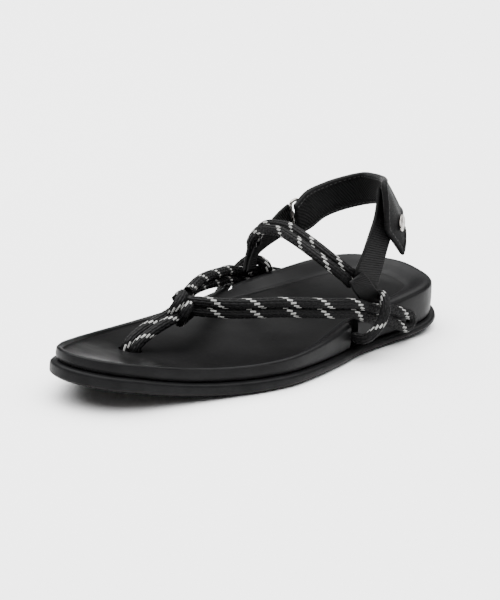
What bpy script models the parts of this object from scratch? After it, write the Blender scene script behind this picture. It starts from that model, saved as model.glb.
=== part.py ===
"""Rope sandal, left foot: the solids of sole, ropes, webbing and heel strap.

Metres, +Z up. The toe points along -Y, the outer (lateral) side is +X.
Stations along the foot are shares of FOOTBED_LENGTH, counted from the back of the heel.
"""
import math

import bmesh
import bpy
from mathutils import Vector

MM = 0.001

# Sole sizes
FOOTBED_LENGTH = 262 * MM
BALL_WIDTH = 93 * MM
HEEL_RISE = 26.8 * MM
FORE_RISE = 15.2 * MM
TOE_SPRING = 13.2 * MM
HEEL_LIFT = 6.0 * MM
BUMPER_HEIGHT = 7.4 * MM
RIM_LIP = 2.2 * MM
HEEL_ROLL = 6.0 * MM
LIP_DEPTH = 1.6 * MM
HEEL_CUP = 5.0 * MM
HEEL_DISH = 2.1 * MM
FORE_DISH = 1.2 * MM
INSOLE_THICKNESS = 2.0 * MM
BOWL_SLOPE = 2.2
BUMPER_REACH = 3.0 * MM
BUMPER_ROUND = 1.2 * MM
TREAD_DEPTH = 1.2 * MM
TREAD_GROOVE = 2.4 * MM

# Upper sizes
ROPE = 5.6 * MM
STRAND_LAP = 0.3 * MM
POST_HOLE = 12.4 * MM
KNOT_LENGTH = 17 * MM
KNOT_HEIGHT = 14.5 * MM
INSTEP_RISE = 39 * MM
STRAP_RISE = 72 * MM
WEB_THICKNESS = 2.0 * MM
STRAP_THICKNESS = 3.2 * MM
RING_WIRE = 1.8 * MM
RING_REACH = 7.5 * MM
BADGE_LENGTH = 12 * MM
BADGE_WIDTH = 6.5 * MM
BADGE_THICKNESS = 1.0 * MM
BADGE_DROP = 6.4 * MM
GAP = 0.3 * MM

HALF = BALL_WIDTH / 2

# Stations as shares of FOOTBED_LENGTH: tread grooves, toe post hole and the slots of the anchor loops
TREAD = (0.12, 0.20, 0.28, 0.48, 0.56, 0.64)
POST_ALONG = 0.781
POST_ACROSS = -0.314
SLOTS = {1: 0.334, -1: 0.378}
# Sideways lean of the side ropes' pairs, per unit of height
SIDE_LEAN = {1: 0.0, -1: 0.55}
# Spans between two rows of a band's table
BAND_STEPS = 3

# Footbed outline: share of length from the heel, then half widths as shares of HALF
OUTLINE = (
    # along, lateral, medial
    (0.018, 0.35, 0.38),
    (0.045, 0.60, 0.595),
    (0.090, 0.745, 0.70),
    (0.155, 0.785, 0.785),
    (0.240, 0.775, 0.825),
    (0.320, 0.805, 0.87),
    (0.400, 0.90, 0.91),
    (0.480, 0.975, 0.93),
    (0.560, 1.01, 0.97),
    (0.630, 0.955, 1.015),
    (0.700, 0.85, 1.005),
    (0.770, 0.74, 0.93),
    (0.840, 0.635, 0.80),
    (0.900, 0.535, 0.655),
    (0.950, 0.405, 0.515),
    (0.985, 0.19, 0.36),
)
HEEL_POINT = -0.04
TOE_POINT = -0.09

# Heights along the foot: blend is 1 where the heel sizes rule and 0 at the forefoot
HEIGHTS = (
    # along, lateral, medial, spring, lift, bumper
    (0.00, 1.00, 1.00, 0.00, 1.00, 0.70),
    (0.04, 0.99, 1.02, 0.00, 0.62, 0.68),
    (0.10, 0.95, 1.06, 0.00, 0.36, 0.66),
    (0.20, 0.76, 0.96, 0.00, 0.14, 0.66),
    (0.30, 0.50, 0.80, 0.00, 0.02, 0.68),
    (0.40, 0.24, 0.54, 0.00, 0.00, 0.74),
    (0.50, 0.05, 0.27, 0.00, 0.00, 0.84),
    (0.62, 0.00, 0.03, 0.00, 0.00, 0.96),
    (0.70, 0.00, 0.00, 0.045, 0.00, 1.00),
    (0.78, 0.00, 0.00, 0.215, 0.00, 1.00),
    (0.86, 0.00, 0.00, 0.49, 0.00, 1.02),
    (0.93, 0.00, 0.00, 0.775, 0.00, 1.07),
    (1.00, 0.00, 0.00, 1.00, 0.00, 1.12),
)


def column(table, along, index):
    """Smooth value of one column of a table at a station."""
    if along <= table[0][0]:
        return table[0][index]
    if along >= table[-1][0]:
        return table[-1][index]
    for k in range(len(table) - 1):
        if along <= table[k + 1][0]:
            break
    a, b = table[k], table[k + 1]
    before = table[max(k - 1, 0)]
    after = table[min(k + 2, len(table) - 1)]
    span = b[0] - a[0]
    u = (along - a[0]) / span
    m0 = (b[index] - before[index]) / (b[0] - before[0]) * span
    m1 = (after[index] - a[index]) / (after[0] - a[0]) * span
    return ((2 * u**3 - 3 * u**2 + 1) * a[index] + (u**3 - 2 * u**2 + u) * m0
            + (-2 * u**3 + 3 * u**2) * b[index] + (u**3 - u**2) * m1)


def y_at(along):
    """Station to Y: heel at +Y, toe at -Y."""
    return FOOTBED_LENGTH * (0.5 - along)


POST_XY = (POST_ACROSS * HALF, y_at(POST_ALONG))


def along_at(y):
    return min(1.0, max(0.0, 0.5 - y / FOOTBED_LENGTH))


def rim_z(along, side):
    """Height of the rim; side runs from -1 medial to +1 lateral."""
    share = 0.5 + 0.5 * side
    blend = share * column(HEIGHTS, along, 1) + (1 - share) * column(HEIGHTS, along, 2)
    return FORE_RISE + (HEEL_RISE - FORE_RISE) * blend + TOE_SPRING * column(HEIGHTS, along, 3)


def ground_z(along):
    """Underside of the outsole."""
    return max(0.0, TOE_SPRING * column(HEIGHTS, along, 3) + HEEL_LIFT * column(HEIGHTS, along, 4))


def seam_z(along):
    """Line where footbed and outsole meet."""
    return ground_z(along) + BUMPER_HEIGHT * column(HEIGHTS, along, 5)


def rim_x(along, side):
    """Signed half width of the rim at a station, for side +1 or -1."""
    rows = [(0.0, HEEL_POINT, -HEEL_POINT)] + list(OUTLINE) + [(1.0, TOE_POINT, -TOE_POINT)]
    return side * HALF * column(rows, along, 1 if side > 0 else 2)


def lip(along):
    blend = column(HEIGHTS, along, 2)
    return RIM_LIP + (HEEL_ROLL - RIM_LIP) * blend


def recess(along):
    blend = column(HEIGHTS, along, 2)
    return LIP_DEPTH + (HEEL_CUP - LIP_DEPTH) * blend


def outline_points(steps):
    """Closed outline from the heel round the lateral side to the toe and back."""
    rows = [(0.0, HEEL_POINT * HALF)]
    rows += [(along, lateral * HALF) for along, lateral, medial in OUTLINE]
    rows += [(1.0, TOE_POINT * HALF)]
    rows += [(along, -medial * HALF) for along, lateral, medial in reversed(OUTLINE)]
    knots = [Vector((x, y_at(along))) for along, x in rows]
    count = len(knots)
    points = []
    for k in range(count):
        p0, p1, p2, p3 = (knots[(k + j) % count] for j in (-1, 0, 1, 2))
        for s in range(steps):
            u = s / steps
            points.append(0.5 * (2 * p1 + (p2 - p0) * u + (2 * p0 - 5 * p1 + 4 * p2 - p3) * u * u
                                 + (3 * p1 - p0 - 3 * p2 + p3) * u**3))
    return points


OUTLINE_STEPS = 2
RING_XY = outline_points(OUTLINE_STEPS)
COUNT = len(RING_XY)


def outward(index):
    """Unit normal of the outline, pointing away from the foot."""
    tangent = RING_XY[(index + 1) % COUNT] - RING_XY[index - 1]
    return Vector((-tangent.y, tangent.x)).normalized()


def side_of(x):
    return max(-1.0, min(1.0, x / (0.5 * HALF)))


def ring(inset, height):
    """One closed ring: inset and height are functions of the station and the side."""
    out = []
    for k, point in enumerate(RING_XY):
        along = along_at(point.y)
        side = side_of(point.x)
        moved = point - outward(k) * inset(along)
        out.append(Vector((moved.x, moved.y, height(along, side))))
    return out


def skin(name, rings, columns, bottom_sag, top_sag):
    """Closed solid from stacked rings, capped by strips between its two sides."""
    mesh = bmesh.new()
    stacks = [[mesh.verts.new(p) for p in r] for r in rings]
    for low, high in zip(stacks, stacks[1:]):
        for k in range(COUNT):
            n = (k + 1) % COUNT
            mesh.faces.new((low[k], low[n], high[n], high[k]))
    for edge, sag in ((stacks[0], bottom_sag), (stacks[-1], top_sag)):
        rows = [[edge[0]]]
        for k in range(1, COUNT // 2):
            a, b = edge[k], edge[COUNT - k]
            row = [a]
            for c in range(1, columns):
                u = c / columns
                p = a.co.lerp(b.co, u)
                p.z -= sag(along_at(p.y)) * 4 * u * (1 - u)
                row.append(mesh.verts.new(p))
            rows.append(row + [b])
        rows.append([edge[COUNT // 2]])
        for one, two in zip(rows, rows[1:]):
            for c in range(columns):
                if len(one) == 1:
                    face = (one[0], two[c], two[c + 1])
                elif len(two) == 1:
                    face = (one[c], two[0], one[c + 1])
                else:
                    face = (one[c], two[c], two[c + 1], one[c + 1])
                mesh.faces.new(face)
    return finish(name, mesh)


def finish(name, mesh):
    bmesh.ops.remove_doubles(mesh, verts=mesh.verts, dist=1e-6)
    bmesh.ops.triangulate(mesh, faces=[f for f in mesh.faces if len(f.verts) > 4])
    bmesh.ops.recalc_face_normals(mesh, faces=mesh.faces)
    data = bpy.data.meshes.new(name)
    mesh.to_mesh(data)
    mesh.free()
    item = bpy.data.objects.new(name, data)
    bpy.context.scene.collection.objects.link(item)
    return item


def combine(item, other, operation):
    """Apply an exact boolean and delete the second object."""
    step = item.modifiers.new("step", "BOOLEAN")
    step.operation = operation
    step.solver = "EXACT"
    step.object = other
    graph = bpy.context.evaluated_depsgraph_get()
    graph.update()
    data = bpy.data.meshes.new_from_object(item.evaluated_get(graph))
    item.modifiers.clear()
    old = item.data
    item.data = data
    bpy.data.meshes.remove(old)
    bpy.data.objects.remove(other)
    return item


def box(name, low, high):
    mesh = bmesh.new()
    corners = [mesh.verts.new((x, y, z)) for z in (low[2], high[2])
               for x, y in ((low[0], low[1]), (high[0], low[1]), (high[0], high[1]), (low[0], high[1]))]
    for face in ((0, 3, 2, 1), (4, 5, 6, 7), (0, 1, 5, 4), (1, 2, 6, 5), (2, 3, 7, 6), (3, 0, 4, 7)):
        mesh.faces.new([corners[k] for k in face])
    return finish(name, mesh)


def smooth_path(points, step):
    """Catmull-Rom curve through the points, sampled about every step."""
    path = [Vector(p) for p in points]
    ends = [path[0] * 2 - path[1]] + path + [path[-1] * 2 - path[-2]]
    out = []
    for k in range(1, len(ends) - 2):
        p0, p1, p2, p3 = ends[k - 1:k + 3]
        count = max(1, round((p2 - p1).length / step))
        for s in range(count):
            u = s / count
            out.append(0.5 * (2 * p1 + (p2 - p0) * u + (2 * p0 - 5 * p1 + 4 * p2 - p3) * u * u
                              + (3 * p1 - p0 - 3 * p2 + p3) * u**3))
    out.append(path[-1])
    return out


def sweep(name, path, section, across, round_ends=True):
    """Tube along a path; across(k) is the direction in which the section is wide."""
    rings = []
    count = len(path)
    for k, point in enumerate(path):
        ahead = (path[min(k + 1, count - 1)] - path[max(k - 1, 0)]).normalized()
        wide = across(k)
        wide = (wide - ahead * wide.dot(ahead)).normalized()
        deep = ahead.cross(wide)
        rings.append([point + wide * a + deep * b for a, b in section])
    if round_ends:
        for at, sign in ((0, -1), (count - 1, 1)):
            ahead = (path[1] - path[0]) if at == 0 else (path[-1] - path[-2])
            ahead = ahead.normalized() * sign
            last = rings[0] if at == 0 else rings[-1]
            centre = path[at]
            bead = ROPE / 2
            caps = []
            for angle in (30, 58, 80):
                c, s = math.cos(math.radians(angle)), math.sin(math.radians(angle))
                caps.append([centre + (p - centre) * c + ahead * bead * s for p in last])
            rings = (list(reversed(caps)) + rings) if at == 0 else (rings + caps)
    mesh = bmesh.new()
    stacks = [[mesh.verts.new(p) for p in r] for r in rings]
    size = len(section)
    for low, high in zip(stacks, stacks[1:]):
        for k in range(size):
            n = (k + 1) % size
            mesh.faces.new((low[k], low[n], high[n], high[k]))
    mesh.faces.new(stacks[0])
    mesh.faces.new(stacks[-1])
    return finish(name, mesh)


def circle(radius, sides):
    return [(radius * math.cos(2 * math.pi * k / sides), radius * math.sin(2 * math.pi * k / sides))
            for k in range(sides)]


def twin(diameter):
    """Two ropes side by side that just run into each other."""
    radius = diameter / 2
    shift = radius - STRAND_LAP / 2
    points = []
    for sign in (1, -1):
        for angle in (-68, -34, 0, 34, 68):
            a = math.radians(angle if sign > 0 else 180 + angle)
            points.append((sign * shift + radius * math.cos(a), radius * math.sin(a)))
        points.append((0.0, sign * radius * 0.42))
    return points


def ruled(name, rows, thickness):
    """Band between two edge curves, each row holding one point of either edge."""
    firsts, seconds = [], []
    for pick, out in ((0, firsts), (1, seconds)):
        points = [Vector(r[pick]) for r in rows]
        ends = [points[0] * 2 - points[1]] + points + [points[-1] * 2 - points[-2]]
        for k in range(1, len(ends) - 2):
            p0, p1, p2, p3 = ends[k - 1:k + 3]
            for s in range(BAND_STEPS):
                u = s / BAND_STEPS
                out.append(0.5 * (2 * p1 + (p2 - p0) * u + (2 * p0 - 5 * p1 + 4 * p2 - p3) * u * u
                                  + (3 * p1 - p0 - 3 * p2 + p3) * u**3))
        out.append(points[-1])
    count = len(firsts)
    mesh = bmesh.new()
    stacks = []
    for k in range(count):
        a, b = firsts[k], seconds[k]
        middle = (firsts[min(k + 1, count - 1)] + seconds[min(k + 1, count - 1)]
                  - firsts[max(k - 1, 0)] - seconds[max(k - 1, 0)])
        normal = middle.cross(b - a).normalized() * (thickness / 2)
        soft = (b - a).normalized() * (thickness * 0.35)
        stacks.append([mesh.verts.new(p) for p in (
            a + normal + soft, a, a - normal + soft, a.lerp(b, 0.5) - normal, b - normal - soft, b,
            b + normal - soft, a.lerp(b, 0.5) + normal)])
    for low, high in zip(stacks, stacks[1:]):
        for k in range(8):
            n = (k + 1) % 8
            mesh.faces.new((low[k], low[n], high[n], high[k]))
    mesh.faces.new(stacks[0])
    mesh.faces.new(stacks[-1])
    return finish(name, mesh)


def at(across, along, up):
    """Point of the upper: share of HALF, share of length, share of STRAP_RISE."""
    return (across * HALF, y_at(along), up * STRAP_RISE)


def clear_objects():
    for item in list(bpy.data.objects):
        bpy.data.objects.remove(item)


# Sole

def recess_floor(along, side):
    """Top of the footbed under the insole, at the edge of the recess."""
    return rim_z(along, side) - recess(along) - INSOLE_THICKNESS


def cup(along):
    """How far the middle of the foot bowl lies under its edge."""
    return FORE_DISH + (HEEL_DISH - FORE_DISH) * column(HEIGHTS, along, 2)


def bowl_edge(along):
    """Inset at which the lip has come down to the insole."""
    return lip(along) + 0.55 * LIP_DEPTH + BOWL_SLOPE * (recess(along) - LIP_DEPTH)


def flat(along):
    return 0.0


def make_outsole():
    rings = (
        ring(lambda t: 2.2 * BUMPER_ROUND, lambda t, s: ground_z(t)),
        ring(lambda t: -0.4 * BUMPER_REACH, lambda t, s: ground_z(t) + 0.6 * BUMPER_ROUND),
        ring(lambda t: -BUMPER_REACH, lambda t, s: ground_z(t) + 2 * BUMPER_ROUND),
        ring(lambda t: -BUMPER_REACH, lambda t, s: seam_z(t) - 1.6 * BUMPER_ROUND),
        ring(lambda t: -BUMPER_REACH + 0.4 * BUMPER_ROUND, lambda t, s: seam_z(t) - 0.6 * BUMPER_ROUND),
        ring(lambda t: -0.35 * BUMPER_REACH, lambda t, s: seam_z(t)),
        ring(lambda t: 0.5 * BUMPER_REACH, lambda t, s: seam_z(t)),
    )
    sole = skin("outsole", rings, 4, flat, flat)
    for station in TREAD:
        y = y_at(station)
        width = 2 * HALF
        cut = box("groove", (-width, y - TREAD_GROOVE / 2, -TREAD_DEPTH),
                  (width, y + TREAD_GROOVE / 2, ground_z(station) + TREAD_DEPTH))
        combine(sole, cut, "DIFFERENCE")
    return sole


def make_footbed():
    rings = (
        ring(lambda t: 0.6 * RIM_LIP, lambda t, s: seam_z(t) + GAP),
        ring(lambda t: 0.1 * RIM_LIP, lambda t, s: seam_z(t) + GAP + 0.6 * RIM_LIP),
        ring(lambda t: -0.15 * RIM_LIP, lambda t, s: 0.55 * seam_z(t) + 0.45 * rim_z(t, s)),
        ring(lambda t: 0.0, lambda t, s: rim_z(t, s) - 0.45 * lip(t)),
        ring(lambda t: 0.16 * lip(t), lambda t, s: rim_z(t, s) - 0.14 * lip(t)),
        ring(lambda t: 0.45 * lip(t), lambda t, s: rim_z(t, s)),
        ring(lambda t: 0.85 * lip(t), lambda t, s: rim_z(t, s) - 0.12 * recess(t)),
        ring(lambda t: 0.55 * lip(t) + 0.45 * bowl_edge(t), lambda t, s: rim_z(t, s) - 0.62 * recess(t)),
        ring(bowl_edge, lambda t, s: rim_z(t, s) - recess(t)),
        ring(lambda t: bowl_edge(t) + GAP, recess_floor),
    )
    bed = skin("footbed", rings, 6, flat, cup)
    hole = sweep("hole", [Vector((*POST_XY, 0)), Vector((*POST_XY, 2 * FORE_RISE))],
                 circle(POST_HOLE / 2, 16), lambda k: Vector((1, 0, 0)), False)
    combine(bed, hole, "DIFFERENCE")
    for side in (1, -1):
        slot = SLOTS[side]
        y = y_at(slot)
        wall = rim_x(slot, side)
        inner = wall - side * 0.72 * ROPE
        outer = wall + side * 2 * ROPE
        low = (min(inner, outer), y - 0.64 * ROPE, seam_z(slot) + 2 * GAP)
        high = (max(inner, outer), y + 0.64 * ROPE, 2 * HEEL_RISE)
        combine(bed, box("slot", low, high), "DIFFERENCE")
    return bed


def make_insole():
    rings = (
        ring(lambda t: bowl_edge(t) + 2 * GAP, lambda t, s: recess_floor(t, s) + GAP),
        ring(lambda t: bowl_edge(t) + 2 * GAP, lambda t, s: recess_floor(t, s) + 0.8 * INSOLE_THICKNESS),
        ring(lambda t: bowl_edge(t) + 3 * GAP, lambda t, s: recess_floor(t, s) + INSOLE_THICKNESS),
    )
    cover = skin("insole", rings, 6, cup, cup)
    hole = sweep("hole", [Vector((*POST_XY, 0)), Vector((*POST_XY, 2 * FORE_RISE))],
                 circle(POST_HOLE / 2, 16), lambda k: Vector((1, 0, 0)), False)
    combine(cover, hole, "DIFFERENCE")
    return cover


# Upper

# Toe post, from its foot in the hole to the knot
POST_ROUTE = (
    # across, along, up in shares of INSTEP_RISE
    (-0.314, 0.7821, 0.3487),
    (-0.314, 0.7782, 0.4360),
    (-0.312, 0.7634, 0.5180),
    (-0.305, 0.7366, 0.5950),
    (-0.299, 0.7061, 0.6540),
    (-0.295, 0.6718, 0.7080),
    (-0.290, 0.6450, 0.7600),
)
# Side ropes from the knot to the anchor: beside counts from the wall in rope widths,
# over from the rim in rope widths, and reach blends from the free route to the wall
LATERAL_ROUTE = (
    # across, along, up, reach, beside, over
    (-0.215, 0.6377, 0.8499, 0.0, 0.00, 0.00),
    (0.020, 0.6127, 0.8578, 0.0, 0.00, 0.00),
    (0.260, 0.5756, 0.8643, 0.0, 0.00, 0.00),
    (0.520, 0.4977, 0.8547, 0.0, 0.00, 0.00),
    (0.710, 0.4178, 0.7897, 0.0, 0.00, 0.00),
    (0.860, 0.3500, 0.7372, 0.0, 0.00, 0.00),
    (0.000, 0.3000, 0.0000, 1.0, 0.72, 0.50),
    (0.000, 0.2620, 0.0000, 1.0, 0.72, -0.12),
    (0.000, 0.2386, 0.0000, 1.0, 0.76, -0.58),
    (0.000, 0.2084, 0.0000, 1.0, 0.82, -1.40),
    (0.000, 0.1820, 0.0000, 1.0, 0.86, -2.00),
)
MEDIAL_ROUTE = (
    (-0.345, 0.6195, 0.9180, 0.0, 0.00, 0.00),
    (-0.520, 0.5525, 0.9160, 0.0, 0.00, 0.00),
    (-0.670, 0.4875, 0.8620, 0.0, 0.00, 0.00),
    (-0.800, 0.4227, 0.7800, 0.0, 0.00, 0.00),
    (-0.905, 0.3759, 0.7150, 0.0, 0.00, 0.00),
    (0.000, 0.3280, 0.0000, 1.0, 0.64, 0.05),
    (0.000, 0.2950, 0.0000, 1.0, 0.68, -0.30),
    (0.000, 0.2620, 0.0000, 1.0, 0.72, -0.70),
    (0.000, 0.2386, 0.0000, 1.0, 0.76, -1.10),
    (0.000, 0.2084, 0.0000, 1.0, 0.82, -1.75),
    (0.000, 0.1820, 0.0000, 1.0, 0.86, -2.30),
)


def rope_points(rows, side):
    out = []
    for across, along, up, reach, beside, over in rows:
        free = Vector((across * HALF, y_at(along), up * INSTEP_RISE))
        wall = Vector((rim_x(along, side) + side * beside * ROPE, y_at(along),
                       rim_z(along, side) + over * ROPE))
        out.append(free.lerp(wall, reach))
    return out


def leaning(side, count):
    """Direction in which a pair is wide: it leans inward on the free stretch and stands at the wall."""
    def wide(k):
        return Vector((-side * SIDE_LEAN[side] * max(0.0, 1 - 1.6 * k / count), 0, 1))
    return wide


def make_rope_upper():
    post = smooth_path([(a * HALF, y_at(t), u * INSTEP_RISE) for a, t, u in POST_ROUTE], ROPE)
    body = sweep("rope_upper", post, twin(ROPE), lambda k: Vector((1, 0.25, 0)))
    for rows, side in ((LATERAL_ROUTE, 1), (MEDIAL_ROUTE, -1)):
        path = smooth_path(rope_points(rows, side), 1.2 * ROPE)
        combine(body, sweep("side", path, twin(ROPE), leaning(side, len(path))), "UNION")
    lump = bmesh.new()
    bmesh.ops.create_uvsphere(lump, u_segments=16, v_segments=10, radius=0.5)
    knot = finish("knot", lump)
    centre = Vector((-0.29 * HALF, y_at(0.640), 0.87 * INSTEP_RISE))
    for vertex in knot.data.vertices:
        p = vertex.co
        vertex.co = centre + Vector((p.x * KNOT_LENGTH, p.y * KNOT_LENGTH, p.z * KNOT_HEIGHT))
    combine(body, knot, "UNION")
    return body


# Instep ring between the two webbings
INSTEP_ROUTE = (
    # across, along, up in shares of STRAP_RISE
    (0.690, 0.3220, 0.5700),
    (0.655, 0.3360, 0.6200),
    (0.450, 0.3550, 0.7140),
    (0.180, 0.3500, 0.7620),
    (-0.100, 0.3380, 0.7890),
    (-0.345, 0.3250, 0.7930),
    (-0.581, 0.3216, 0.7720),
    (-0.700, 0.3190, 0.7420),
    (-0.790, 0.3150, 0.6900),
    (-0.845, 0.3120, 0.6300),
    (-0.858, 0.3100, 0.5780),
)


def make_instep_rope():
    path = smooth_path([at(*row) for row in INSTEP_ROUTE], 1.1 * ROPE)
    return sweep("instep_rope", path, twin(ROPE), lambda k: Vector((-0.12, 1, 0.35)))


# Anchor loops, from their slot round the side ropes and down inside: all in rope widths,
# beside from the wall, round from the slot, over from the rim at the slot
LATERAL_ANCHOR = (
    # beside, round, over
    (-0.10, 0.00, -1.45),
    (0.60, 0.02, -1.45),
    (1.35, 0.12, -1.30),
    (1.80, 0.60, -0.80),
    (1.80, 1.60, 0.00),
    (1.64, 2.40, 1.08),
    (0.95, 3.00, 1.84),
    (0.00, 3.55, 1.98),
    (-0.62, 3.98, 1.48),
    (-0.80, 4.15, 1.02),
    (-0.84, 4.20, 0.68),
)
MEDIAL_ANCHOR = (
    (-0.10, 0.00, -2.10),
    (0.60, 0.02, -2.10),
    (1.25, 0.15, -1.90),
    (1.50, 0.85, -1.20),
    (1.52, 2.10, -0.35),
    (1.46, 3.20, 0.68),
    (0.98, 3.95, 1.42),
    (0.20, 4.50, 1.60),
    (-0.42, 4.85, 1.29),
    (-0.68, 5.00, 0.88),
    (-0.76, 5.05, 0.66),
)


def make_anchor(name, side, route):
    slot = SLOTS[side]
    wall = rim_x(slot, side)
    points = []
    for beside, back, over in route:
        points.append((wall + side * beside * ROPE, y_at(slot) + back * ROPE,
                       rim_z(slot, side) + over * ROPE))
    path = smooth_path(points, 0.55 * ROPE)
    return sweep(name, path, circle(ROPE / 2, 10), lambda k: Vector((0, 1, 0.01)), False)


# Webbing and strap tables: each row holds one point of either edge in shares
LATERAL_BACK_LEG = (
    # front edge, back edge
    ((0.722, 0.2883, 0.3324), (0.722, 0.2663, 0.3309)),
    ((0.742, 0.3049, 0.4180), (0.742, 0.2639, 0.4153)),
    ((0.785, 0.3253, 0.5331), (0.785, 0.2613, 0.5289)),
    ((0.800, 0.3393, 0.6500), (0.795, 0.2549, 0.6206)),
    ((0.775, 0.3141, 0.7900), (0.762, 0.2362, 0.7450)),
    ((0.722, 0.2870, 0.9010), (0.716, 0.2156, 0.8400)),
    ((0.655, 0.2588, 1.0030), (0.645, 0.1985, 0.9170)),
    ((0.590, 0.2390, 1.1070), (0.563, 0.1900, 0.9790)),
    ((0.548, 0.2275, 1.1960), (0.490, 0.1890, 1.0420)),
)
LATERAL_FRONT_LEG = (
    ((0.756, 0.2903, 0.3325), (0.756, 0.2683, 0.3310)),
    ((0.778, 0.3159, 0.4241), (0.778, 0.2788, 0.4433)),
    ((0.822, 0.3474, 0.5238), (0.822, 0.3023, 0.5424)),
    ((0.842, 0.3590, 0.5700), (0.838, 0.3230, 0.5840)),
    ((0.836, 0.3656, 0.6090), (0.830, 0.3384, 0.6120)),
)
MEDIAL_BACK_LEG = (
    ((-0.822, 0.3360, 0.3916), (-0.822, 0.3060, 0.3896)),
    ((-0.872, 0.3196, 0.4724), (-0.872, 0.2920, 0.4880)),
    ((-0.925, 0.2871, 0.5785), (-0.925, 0.2255, 0.5480)),
    ((-0.945, 0.2546, 0.6747), (-0.950, 0.1873, 0.5640)),
    ((-0.965, 0.2182, 0.7481), (-0.968, 0.1551, 0.5705)),
    ((-0.962, 0.1880, 0.8003), (-0.962, 0.1370, 0.6018)),
)
MEDIAL_FRONT_LEG = (
    ((-0.856, 0.3400, 0.3919), (-0.856, 0.3050, 0.3896)),
    ((-0.908, 0.3246, 0.4835), (-0.908, 0.2866, 0.4810)),
    ((-0.960, 0.3062, 0.5644), (-0.960, 0.2682, 0.5618)),
)
HEEL_STRAP = (
    # upper edge, lower edge
    ((-0.850, 0.1919, 0.8060), (-0.845, 0.1741, 0.5718)),
    ((-0.825, 0.1595, 0.9014), (-0.815, 0.1460, 0.5970)),
    ((-0.775, 0.1152, 0.9461), (-0.775, 0.1096, 0.6672)),
    ((-0.680, 0.0840, 0.9830), (-0.690, 0.0764, 0.7116)),
    ((-0.475, 0.0618, 1.0368), (-0.485, 0.0531, 0.7696)),
    ((-0.215, 0.0806, 1.0781), (-0.235, 0.0508, 0.8237)),
    ((0.045, 0.1124, 1.1193), (0.045, 0.0687, 0.8595)),
    ((0.280, 0.1581, 1.1776), (0.300, 0.0947, 0.8613)),
    ((0.495, 0.2018, 1.2293), (0.520, 0.1457, 0.8538)),
    ((0.655, 0.2377, 1.2479), (0.705, 0.1718, 0.8382)),
    ((0.740, 0.2473, 1.1348), (0.775, 0.1831, 0.7696)),
    ((0.775, 0.2490, 0.9994), (0.815, 0.1923, 0.7291)),
    ((0.795, 0.2494, 0.9074), (0.845, 0.2015, 0.6983)),
)


def make_web(name, legs):
    body = ruled(name, [(at(*a), at(*b)) for a, b in legs[0]], WEB_THICKNESS)
    other = ruled("leg", [(at(*a), at(*b)) for a, b in legs[1]], WEB_THICKNESS)
    return combine(body, other, "UNION")


def make_strap():
    return ruled("heel_strap", [(at(*a), at(*b)) for a, b in HEEL_STRAP], STRAP_THICKNESS)


def make_strap_ring():
    """Flat metal loop between the medial webbing and the heel strap."""
    top = Vector(at(*HEEL_STRAP[0][0]))
    low = Vector(at(*HEEL_STRAP[0][1]))
    up = (top - low).normalized()
    ahead = (Vector(at(*HEEL_STRAP[1][0])) + Vector(at(*HEEL_STRAP[1][1])) - top - low).normalized()
    ahead = (ahead - up * ahead.dot(up)).normalized()
    out = ahead.cross(up).normalized()
    if out.x > 0:
        out = -out
    centre = (top + low) / 2 + ahead * RING_REACH * 0.35 + out * (STRAP_THICKNESS / 2 + GAP + RING_WIRE / 2)
    tall = (top - low).length / 2 + GAP + RING_WIRE
    wide = RING_REACH / 2
    loops = []
    for level in (-1, 1):
        for shrink in (0.0, RING_WIRE):
            loops.append([centre + up * (tall - shrink) * a + ahead * (wide - shrink) * b
                          + out * level * RING_WIRE / 2
                          for a, b in ((1, 0.6), (1, -0.6), (0.88, -1), (-0.88, -1),
                                       (-1, -0.6), (-1, 0.6), (-0.88, 1), (0.88, 1))])
    mesh = bmesh.new()
    rings = [[mesh.verts.new(p) for p in loop] for loop in loops]
    for a, b in ((0, 1), (1, 3), (3, 2), (2, 0)):
        for k in range(8):
            n = (k + 1) % 8
            mesh.faces.new((rings[a][k], rings[a][n], rings[b][n], rings[b][k]))
    return finish("strap_ring", mesh)


def make_badge():
    """Plain oval plate on the outer face of the strap's end."""
    a, b = (Vector(at(*p)) for p in HEEL_STRAP[-4])
    c, d = (Vector(at(*p)) for p in HEEL_STRAP[-3])
    run = (c + d - a - b).normalized()
    wide = (b - a).normalized()
    out = run.cross(wide).normalized()
    if out.x < 0:
        out = -out
    long = (run - wide * run.dot(wide)).normalized()
    lift = STRAP_THICKNESS / 2 + GAP + 0.55 * BADGE_THICKNESS
    centre = (a + b + c + d) / 4 + wide * BADGE_DROP + out * lift
    mesh = bmesh.new()
    rings = []
    for level, scale in ((-0.5, 0.9), (-0.25, 1.0), (0.25, 1.0), (0.5, 0.86)):
        rings.append([mesh.verts.new(centre + long * BADGE_LENGTH / 2 * scale * math.cos(math.tau * k / 20)
                                     + wide * BADGE_WIDTH / 2 * scale * math.sin(math.tau * k / 20)
                                     + out * level * BADGE_THICKNESS) for k in range(20)])
    for low, high in zip(rings, rings[1:]):
        for k in range(20):
            n = (k + 1) % 20
            mesh.faces.new((low[k], low[n], high[n], high[k]))
    mesh.faces.new(rings[0])
    mesh.faces.new(rings[-1])
    return finish("badge_plate", mesh)


centre_shift = Vector((0, 0, 0))


def centre_part():
    """Put the middle of the whole part over the origin, with its underside at Z 0."""
    low = Vector((1e9, 1e9, 1e9))
    high = -low
    items = [item for item in bpy.data.objects if item.type == "MESH"]
    for item in items:
        for vertex in item.data.vertices:
            for k in range(3):
                low[k] = min(low[k], vertex.co[k])
                high[k] = max(high[k], vertex.co[k])
    shift = Vector((-(low.x + high.x) / 2, -(low.y + high.y) / 2, -low.z))
    centre_shift[:] = shift
    for item in items:
        for vertex in item.data.vertices:
            vertex.co += shift
    print("moved by", [round(v * 1000, 3) for v in shift], "mm")
    print("size", [round((high[k] - low[k]) * 1000, 1) for k in range(3)], "mm")


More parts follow.
